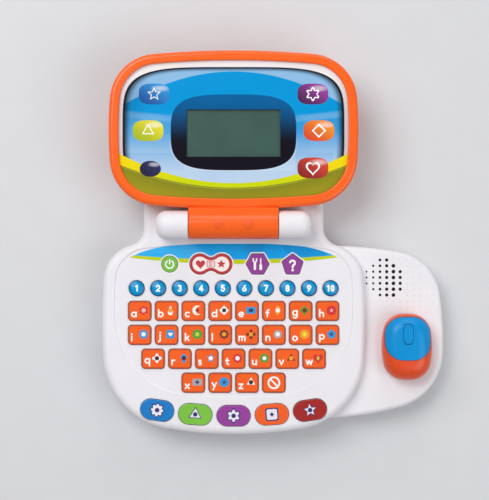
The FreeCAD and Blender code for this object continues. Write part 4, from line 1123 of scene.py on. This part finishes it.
class LAPTOP_OT_function_prints(bpy.types.Operator):
    """White rims round the function keys and the signs on them"""

    bl_idname = "laptop.function_prints"
    bl_label = "Function Prints"

    def execute(self, context):
        white = ink_finish("sign", colours().ink)
        blush = ink_finish("blush", tone("FBEDEA"))
        red = ink_finish("sign_red", colours().red)
        outlines = {
            "power_key": points_on_arc(0, 0, POWER_R + RIM_GAP, 0, 350),
            "name_key": bone(RIM_GAP),
            "tools_key": round_polygon(6, HEXAGON_HALF + RIM_GAP, 0),
            "help_key": round_polygon(5, PENTAGON_HALF + RIM_GAP, 90),
        }
        rims = Print("print_key_rims", (0, 0, FIELD_Z))
        for key, outline in outlines.items():
            centre = middle(key)
            ring = [(x * MM + centre.x, y * MM + self.lift(key)) for x, y in outline]
            rims.stroke(ring, RIM_WIDTH * MM, white, closed=True)
        rims.finish("base", "shell_white")
        self.signs("power_key", POWER_STROKES, white, "key_green")
        name = self.sheet("name_key")
        name.fill(scaled(bone(-NAME_BORDER)), blush)
        for sign, x in (("heart", -NAME_SIGN_X), ("star", NAME_SIGN_X)):
            name.fill(OUTLINES[sign], red, NAME_SIGN * MM, (x * MM, 0), level=1)
        name.stroke(scaled(rounded(*NAME_CARD)), NAME_CARD_LINE * MM, red, level=1, closed=True)
        for y, end in NAME_ROWS:
            row = scaled([(NAME_ROW_START, y), (end, y)])
            name.stroke(row, NAME_ROW_LINE * MM, red, level=1)
        name.finish("name_key", "key_red")
        self.signs("tools_key", TOOL_STROKES, white, "key_purple")
        mark = self.sheet("help_key")
        place = (HELP_PLACE[0] * MM, HELP_PLACE[1] * MM)
        write(mark, "?", HELP_UNIT * MM, HELP_LINE * MM, place, white)
        mark.finish("help_key", "key_purple")
        return {"FINISHED"}

    def signs(self, key, strokes, ink, slot):
        """A sign made of strokes, each with its width."""
        sheet = self.sheet(key)
        for path, width in strokes:
            sheet.stroke(scaled(path), width * MM, ink)
        sheet.finish(key, slot)

    @staticmethod
    def lift(key):
        """The middle of a key's plan. A pentagon's box is not centred on it."""
        low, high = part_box(key)
        if key != "help_key":
            return (low.y + high.y) / 2
        return low.y + (HELP_FLANGE + PENTAGON_HALF) * MM

    def sheet(self, key):
        return Print("print_" + key, (middle(key).x, self.lift(key), LETTER_TOP))


MODE_ARC_R = 437.0
MODE_PITCH = 32.2
MODE_SIGNS = (
    ("cog", "disc"), ("triangle", "disc"), ("flower", "disc"), ("square", "diamond"), ("star", "disc"),
)
MODE_SLOTS = ("key_blue", "key_green", "key_purple", "key_orange", "key_dark_red")
MODE_OUTER = 6.4
MODE_INNER = 5.2
MODE_CORE = 1.9


class LAPTOP_OT_mode_prints(bpy.types.Operator):
    """Plain signs on the mode keys"""

    bl_idname = "laptop.mode_prints"
    bl_label = "Mode Prints"

    def execute(self, context):
        white = ink_finish("mode_white", tone("E9E6F2"))
        navy = ink_finish("mode_navy", tone("26276E"))
        for index, key in enumerate(MODE_KEYS):
            centre = middle(key)
            turn = (index - (len(MODE_KEYS) - 1) / 2) * MODE_PITCH / MODE_ARC_R
            sheet = Print("print_" + key, (centre.x, centre.y, MODE_TOP), turn)
            sign, core = MODE_SIGNS[index]
            sheet.fill(OUTLINES[sign], navy, MODE_OUTER * MM)
            sheet.fill(OUTLINES[sign], white, MODE_INNER * MM, level=1)
            sheet.fill(OUTLINES[core], navy, MODE_CORE * MM, level=2)
            sheet.finish(key, MODE_SLOTS[index])
        return {"FINISHED"}


BADGE_SIZE = (25.6, 17.4)
BADGE_POWER = 2.9
BARE_SIZE = (17.6, 13.2)
BARE_POWER = 2.1
BADGE_SIGN = 6.0
BADGE_SIGN_INNER = 4.3
BADGES = (
    ("blue", -66.0, 29.5, "0B4F9E", "2E9BE0", "star"),
    ("lime", -71.0, -1.0, "A9B916", "F0E22E", "triangle"),
    ("navy", -69.1, -32.7, "17153A", "2A2A63", None),
    ("purple", 66.0, 29.5, "4B1550", "A03FA5", "flower"),
    ("orange", 71.0, -1.0, "E0481B", "FB9A25", "diamond"),
    ("red", 66.0, -32.0, "8E1A1B", "E0462F", "heart"),
)


class LAPTOP_OT_badges(bpy.types.Operator):
    """Soft badges on the display panel, five with plain shapes and one bare"""

    bl_idname = "laptop.badges"
    bl_label = "Badges"

    def execute(self, context):
        white = ink_finish("badge_white", colours().ink)
        for name, u, v, dark, light, sign in BADGES:
            centre = (BODY_X + u * MM, LID_Y + v * MM, PANEL_Z)
            sheet = Print("print_badge_" + name, centre)
            size, power = (BADGE_SIZE, BADGE_POWER) if sign else (BARE_SIZE, BARE_POWER)
            body = badge_finish("badge_" + name, tone(dark), tone(light), centre, size)
            sheet.fill(scaled(rounded(*size, power)), body)
            if sign:
                sheet.fill(OUTLINES[sign], white, BADGE_SIGN * MM, level=1)
                sheet.fill(OUTLINES[sign], body, BADGE_SIGN_INNER * MM, level=2)
            sheet.finish("lid", "panel_print")
        return {"FINISHED"}


WHEEL_HALF = (4.2, 8.4)
WHEEL_POWER = 3.2
WHEEL_LINE_INNER = (0.86, 0.1)
WHEEL_LINE_OUTER = (1.18, 0.1)
WHEEL_CROWN = 0.1 * MM


def mouse_finish():
    """Satin blue of the mouse button, with a fine dark line round the wheel."""
    made = Finish("mouse_blue", roughness=0.34, coat=0.06, specular=0.22)
    _, x, y, _ = made.place()
    u = millimetres(x, middle("mouse_body").x)
    v = millimetres(y, wheel_middle())
    ring = soft_box(u, v, WHEEL_HALF, WHEEL_POWER)
    line = ring.above(*WHEEL_LINE_INNER) * ring.below(*WHEEL_LINE_OUTER)
    return made.moulded(made.mix(line * 0.7, colours().mouse_button, tone("0A2C5E")), sheen=0.04)


def wheel_middle():
    """Middle of the wheel along the mouse: the highest points of the button belong to it."""
    crown = top_of("mouse_button") - WHEEL_CROWN
    reach = [corner.co.y for corner in NODES["mouse_button"].data.vertices if corner.co.z > crown]
    return (min(reach) + max(reach)) / 2


class LAPTOP_OT_mouse(bpy.types.Operator):
    """Orange body and blue button of the mouse"""

    bl_idname = "laptop.mouse"
    bl_label = "Mouse"

    def execute(self, context):
        dress(plain_finish("mouse_orange", colours().mouse, 0.34, 0.06), "mouse_body")
        dress(mouse_finish(), "mouse_button")
        return {"FINISHED"}


class Graph(Nodes):
    """A tree of Geometry Nodes with named inputs."""

    def __init__(self, name, inputs):
        super().__init__(bpy.data.node_groups.new(name, "GeometryNodeTree"))
        add = self.tree.interface.new_socket
        add("Geometry", in_out="OUTPUT", socket_type="NodeSocketGeometry")
        self.sockets = {}
        for label, kind in inputs.items():
            self.sockets[label] = add(label, in_out="INPUT", socket_type="NodeSocket" + kind)
        self.start = self.tree.nodes.new("NodeGroupInput")
        self.end = self.tree.nodes.new("NodeGroupOutput")

    def value(self, label):
        return Signal(self, self.start.outputs[label])

    def shape(self, kind, **sockets):
        """A node of shapes, its sockets named in small letters."""
        names = {name.replace("_", " ").title(): value for name, value in sockets.items()}
        return self.signal("GeometryNode" + kind, None, names)

    def vector(self, operation, *values, output="Vector"):
        settings = {"operation": operation}
        return self.signal("ShaderNodeVectorMath", settings, dict(enumerate(values)), output)

    def make(self, name, values):
        """A new object from the tree, with the modifier applied."""
        piece = bpy.data.objects.new(name, bpy.data.meshes.new(name + "_start"))
        bpy.context.scene.collection.objects.link(piece)
        modifier = piece.modifiers.new(name, "NODES")
        modifier.node_group = self.tree
        for label, value in values.items():
            modifier[self.sockets[label].identifier] = value
        shown = piece.evaluated_get(bpy.context.evaluated_depsgraph_get())
        mesh = bpy.data.meshes.new_from_object(shown)
        piece.modifiers.clear()
        piece.data = mesh
        mesh.name = name
        return piece


BUMP_REACH = 28.0
BUMP_GRID = (9, 11)
BUMP_PITCH = (5.7, 4.95)
BUMP_CENTRE = (3.5, -2.0)
GRILLE_HALF = (17.0, 17.3)
BUMP_FACETS = {"segments": 14, "rings": 8}
BUMP_FAR_SHARE = 0.6


def bump_graph():
    """Low bumps on the grid of the speaker holes, none over the holes, smaller further out."""
    graph = Graph("pad_bumps", {
        "Columns": "Int", "Rows": "Int", "Width": "Float", "Depth": "Float", "Radius": "Float",
        "Height": "Float", "Reach": "Float", "Centre": "Vector", "Grille": "Vector",
        "Grille Half": "Vector", "Material": "Material",
    })
    value = graph.value
    grid = graph.shape(
        "MeshGrid", size_x=value("Width"), size_y=value("Depth"),
        vertices_x=value("Columns"), vertices_y=value("Rows"),
    )
    moved = graph.shape("Transform", geometry=grid, translation=value("Centre"))
    place = graph.shape("InputPosition")
    far = graph.vector("DISTANCE", place, value("Centre"), output="Value")
    outside = graph.math("GREATER_THAN", far, value("Reach"))
    aside = graph.vector("ABSOLUTE", graph.vector("SUBTRACT", place, value("Grille")))
    share = graph.vector("DIVIDE", aside, value("Grille Half"))
    shares = [graph.signal("ShaderNodeSeparateXYZ", None, {0: share}, axis) for axis in "XY"]
    over_holes = graph.math("LESS_THAN", graph.math("MAXIMUM", *shares), 1.0)
    dropped = graph.math("MAXIMUM", outside, over_holes)
    kept = graph.shape("DeleteGeometry", geometry=moved, selection=dropped)
    ball = graph.shape("MeshUVSphere", radius=value("Radius"), **BUMP_FACETS)
    low = value("Height") / value("Radius")
    shrink = 1.0 - far / value("Reach") * (1.0 - BUMP_FAR_SHARE)
    scale = graph.signal("ShaderNodeCombineXYZ", None, {"X": shrink, "Y": shrink, "Z": low})
    bumps = graph.shape("InstanceOnPoints", points=kept, instance=ball, scale=scale)
    real = graph.shape("RealizeInstances", geometry=bumps)
    graph.feed(graph.end.inputs[0], graph.shape("SetMaterial", geometry=real, material=value("Material")))
    return graph


class LAPTOP_OT_pad(bpy.types.Operator):
    """Low bumps on the mouse pad beside the speaker holes"""

    bl_idname = "laptop.pad"
    bl_label = "Mouse Pad"

    def execute(self, context):
        size = sizes()
        grille = middle("speaker")
        pitch = Vector(BUMP_PITCH) * MM
        bumps = bump_graph().make("pad_bumps", {
            "Columns": BUMP_GRID[0], "Rows": BUMP_GRID[1],
            "Width": (BUMP_GRID[0] - 1) * pitch.x, "Depth": (BUMP_GRID[1] - 1) * pitch.y,
            "Radius": size.bump_radius, "Height": size.bump_height, "Reach": BUMP_REACH * MM,
            "Centre": (grille.x + BUMP_CENTRE[0] * pitch.x, grille.y + BUMP_CENTRE[1] * pitch.y, PAD_TOP),
            "Grille": (grille.x, grille.y, PAD_TOP),
            "Grille Half": (GRILLE_HALF[0] * MM, GRILLE_HALF[1] * MM, 1.0),
            "Material": plain_finish("pad_bump", tone("E6E4EA"), 0.5),
        })
        bumps.data.shade_smooth()
        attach(bumps, "base")
        return {"FINISHED"}


CELL_BAND = (0.72, 0.01)
HARDWARE = (
    ("foot_rubber", "88888C", 0.75, 0.0, 0.12, 1500.0, ("rubber_feet",)),
    ("silicone_grey", "A9A9AD", 0.7, 0.0, 0.1, 1500.0, ("key_mat",)),
    ("board_green", "2E7A48", 0.45, 0.3, 0.15, SKIN_SCALE, ("main_board",)),
    ("speaker_black", "1A1A1C", 0.8, 0.0, 0.2, 1800.0, ("speaker",)),
    ("inner_white", "DEDDE0", 0.55, 0.0, 0.06, SKIN_SCALE, ("mouse_slide", "mouse_retainer")),
)


def cell_finish():
    """Dark cells with a copper-coloured end."""
    made = Finish("cell_wrap", roughness=0.3, coat=0.3)
    low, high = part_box("batteries")
    share = (made.place()[1] - low.x) / (high.x - low.x)
    return made.moulded(made.mix(share.above(*CELL_BAND), tone("2B2B2F"), tone("B77A3C")), sheen=0.1)


class LAPTOP_OT_hardware(bpy.types.Operator):
    """Screws, feet, cells, board and other pieces inside"""

    bl_idname = "laptop.hardware"
    bl_label = "Hardware"

    def execute(self, context):
        dress(steel_finish(), "base_screws", "lid_screws", "hinge_pins", "battery_contacts")
        for name, code, roughness, coat, sheen, grain, nodes in HARDWARE:
            dress(plain_finish(name, tone(code), roughness, coat, sheen, grain), *nodes)
        dress(cell_finish(), "batteries")
        return {"FINISHED"}


# Stage

FLOOR_HALF = 4.0
FLOOR_GRAIN = 40.0
CAMERA_TARGET = (-0.0242, -0.0054, 0.0330)
CAMERA_ELEVATION = 89.0
CAMERA_DISTANCE = 1.34
CAMERA_LENS = 114.8
SENSOR = 36.0
LAMPS = (
    ("key_lamp", (-0.9, 0.9, 1.7), 1.3, 27.0),
    ("fill_lamp", (1.3, -0.7, 1.6), 1.6, 16.0),
    ("back_lamp", (0.3, 1.9, 1.0), 1.2, 8.0),
)
WORLD_LEVEL = 0.32


class LAPTOP_OT_stage(bpy.types.Operator):
    """Pale floor, soft lamps, world and camera"""

    bl_idname = "laptop.stage"
    bl_label = "Stage"

    def execute(self, context):
        scene = context.scene
        self.floor(scene)
        for lamp in LAMPS:
            self.lamp(scene, *lamp)
        world = bpy.data.worlds.new("studio")
        world.use_nodes = True
        backdrop = world.node_tree.nodes["Background"]
        backdrop.inputs["Color"].default_value = WHITE
        backdrop.inputs["Strength"].default_value = WORLD_LEVEL
        scene.world = world
        self.camera(scene)
        scene.view_settings.view_transform = "Standard"
        return {"FINISHED"}

    @staticmethod
    def floor(scene):
        data = bpy.data.meshes.new("floor")
        corners = [(-1, -1), (1, -1), (1, 1), (-1, 1)]
        data.from_pydata([(x * FLOOR_HALF, y * FLOOR_HALF, 0.0) for x, y in corners], [], [(0, 1, 2, 3)])
        pale = plain_finish("floor_pale", tone("D6D7DA"), roughness=0.7, sheen=0.02, grain=FLOOR_GRAIN)
        data.materials.append(pale)
        floor = bpy.data.objects.new("floor", data)
        scene.collection.objects.link(floor)

    @staticmethod
    def lamp(scene, name, place, size, power):
        data = bpy.data.lights.new(name, "AREA")
        data.size = size
        data.energy = power
        lamp = bpy.data.objects.new(name, data)
        lamp.location = place
        lamp.rotation_euler = (-Vector(place)).to_track_quat("-Z", "Y").to_euler()
        scene.collection.objects.link(lamp)

    @staticmethod
    def camera(scene):
        data = bpy.data.cameras.new("photo_camera")
        data.lens = CAMERA_LENS
        data.sensor_width = SENSOR
        camera = bpy.data.objects.new("photo_camera", data)
        tilt = math.radians(CAMERA_ELEVATION)
        reach = Vector((0.0, -math.cos(tilt), math.sin(tilt))) * CAMERA_DISTANCE
        camera.location = Vector(CAMERA_TARGET) + reach
        camera.rotation_euler = (-reach).to_track_quat("-Z", "Y").to_euler()
        scene.collection.objects.link(camera)
        scene.camera = camera


STEPS = (
    LAPTOP_OT_shells, LAPTOP_OT_lid, LAPTOP_OT_keys, LAPTOP_OT_letters, LAPTOP_OT_numbers,
    LAPTOP_OT_function_prints, LAPTOP_OT_mode_prints, LAPTOP_OT_badges, LAPTOP_OT_mouse,
    LAPTOP_OT_pad, LAPTOP_OT_hardware, LAPTOP_OT_stage,
)


class VIEW3D_PT_laptop(bpy.types.Panel):
    """Sidebar panel with the steps and the sizes and colours they use"""

    bl_idname = "VIEW3D_PT_laptop"
    bl_label = "Toy Laptop"
    bl_space_type = "VIEW_3D"
    bl_region_type = "UI"
    bl_category = "Toy Laptop"

    def draw(self, context):
        layout = self.layout
        for step in STEPS:
            layout.operator(step.bl_idname)
        for group in (context.scene.laptop_sizes, context.scene.laptop_colours):
            column = layout.column(align=True)
            for name in group.bl_rna.properties.keys():
                if name not in ("rna_type", "name"):
                    column.prop(group, name)


CLASSES = (LaptopColours, LaptopSizes) + STEPS + (VIEW3D_PT_laptop,)


def register():
    for made in CLASSES:
        bpy.utils.register_class(made)
    bpy.types.Scene.laptop_colours = bpy.props.PointerProperty(type=LaptopColours)
    bpy.types.Scene.laptop_sizes = bpy.props.PointerProperty(type=LaptopSizes)


def unregister():
    del bpy.types.Scene.laptop_sizes
    del bpy.types.Scene.laptop_colours
    for made in reversed(CLASSES):
        bpy.utils.unregister_class(made)


def main():
    register()
    for step in STEPS:
        group, name = step.bl_idname.split(".")
        getattr(getattr(bpy.ops, group), name)()


if __name__ == "__main__":
    main()
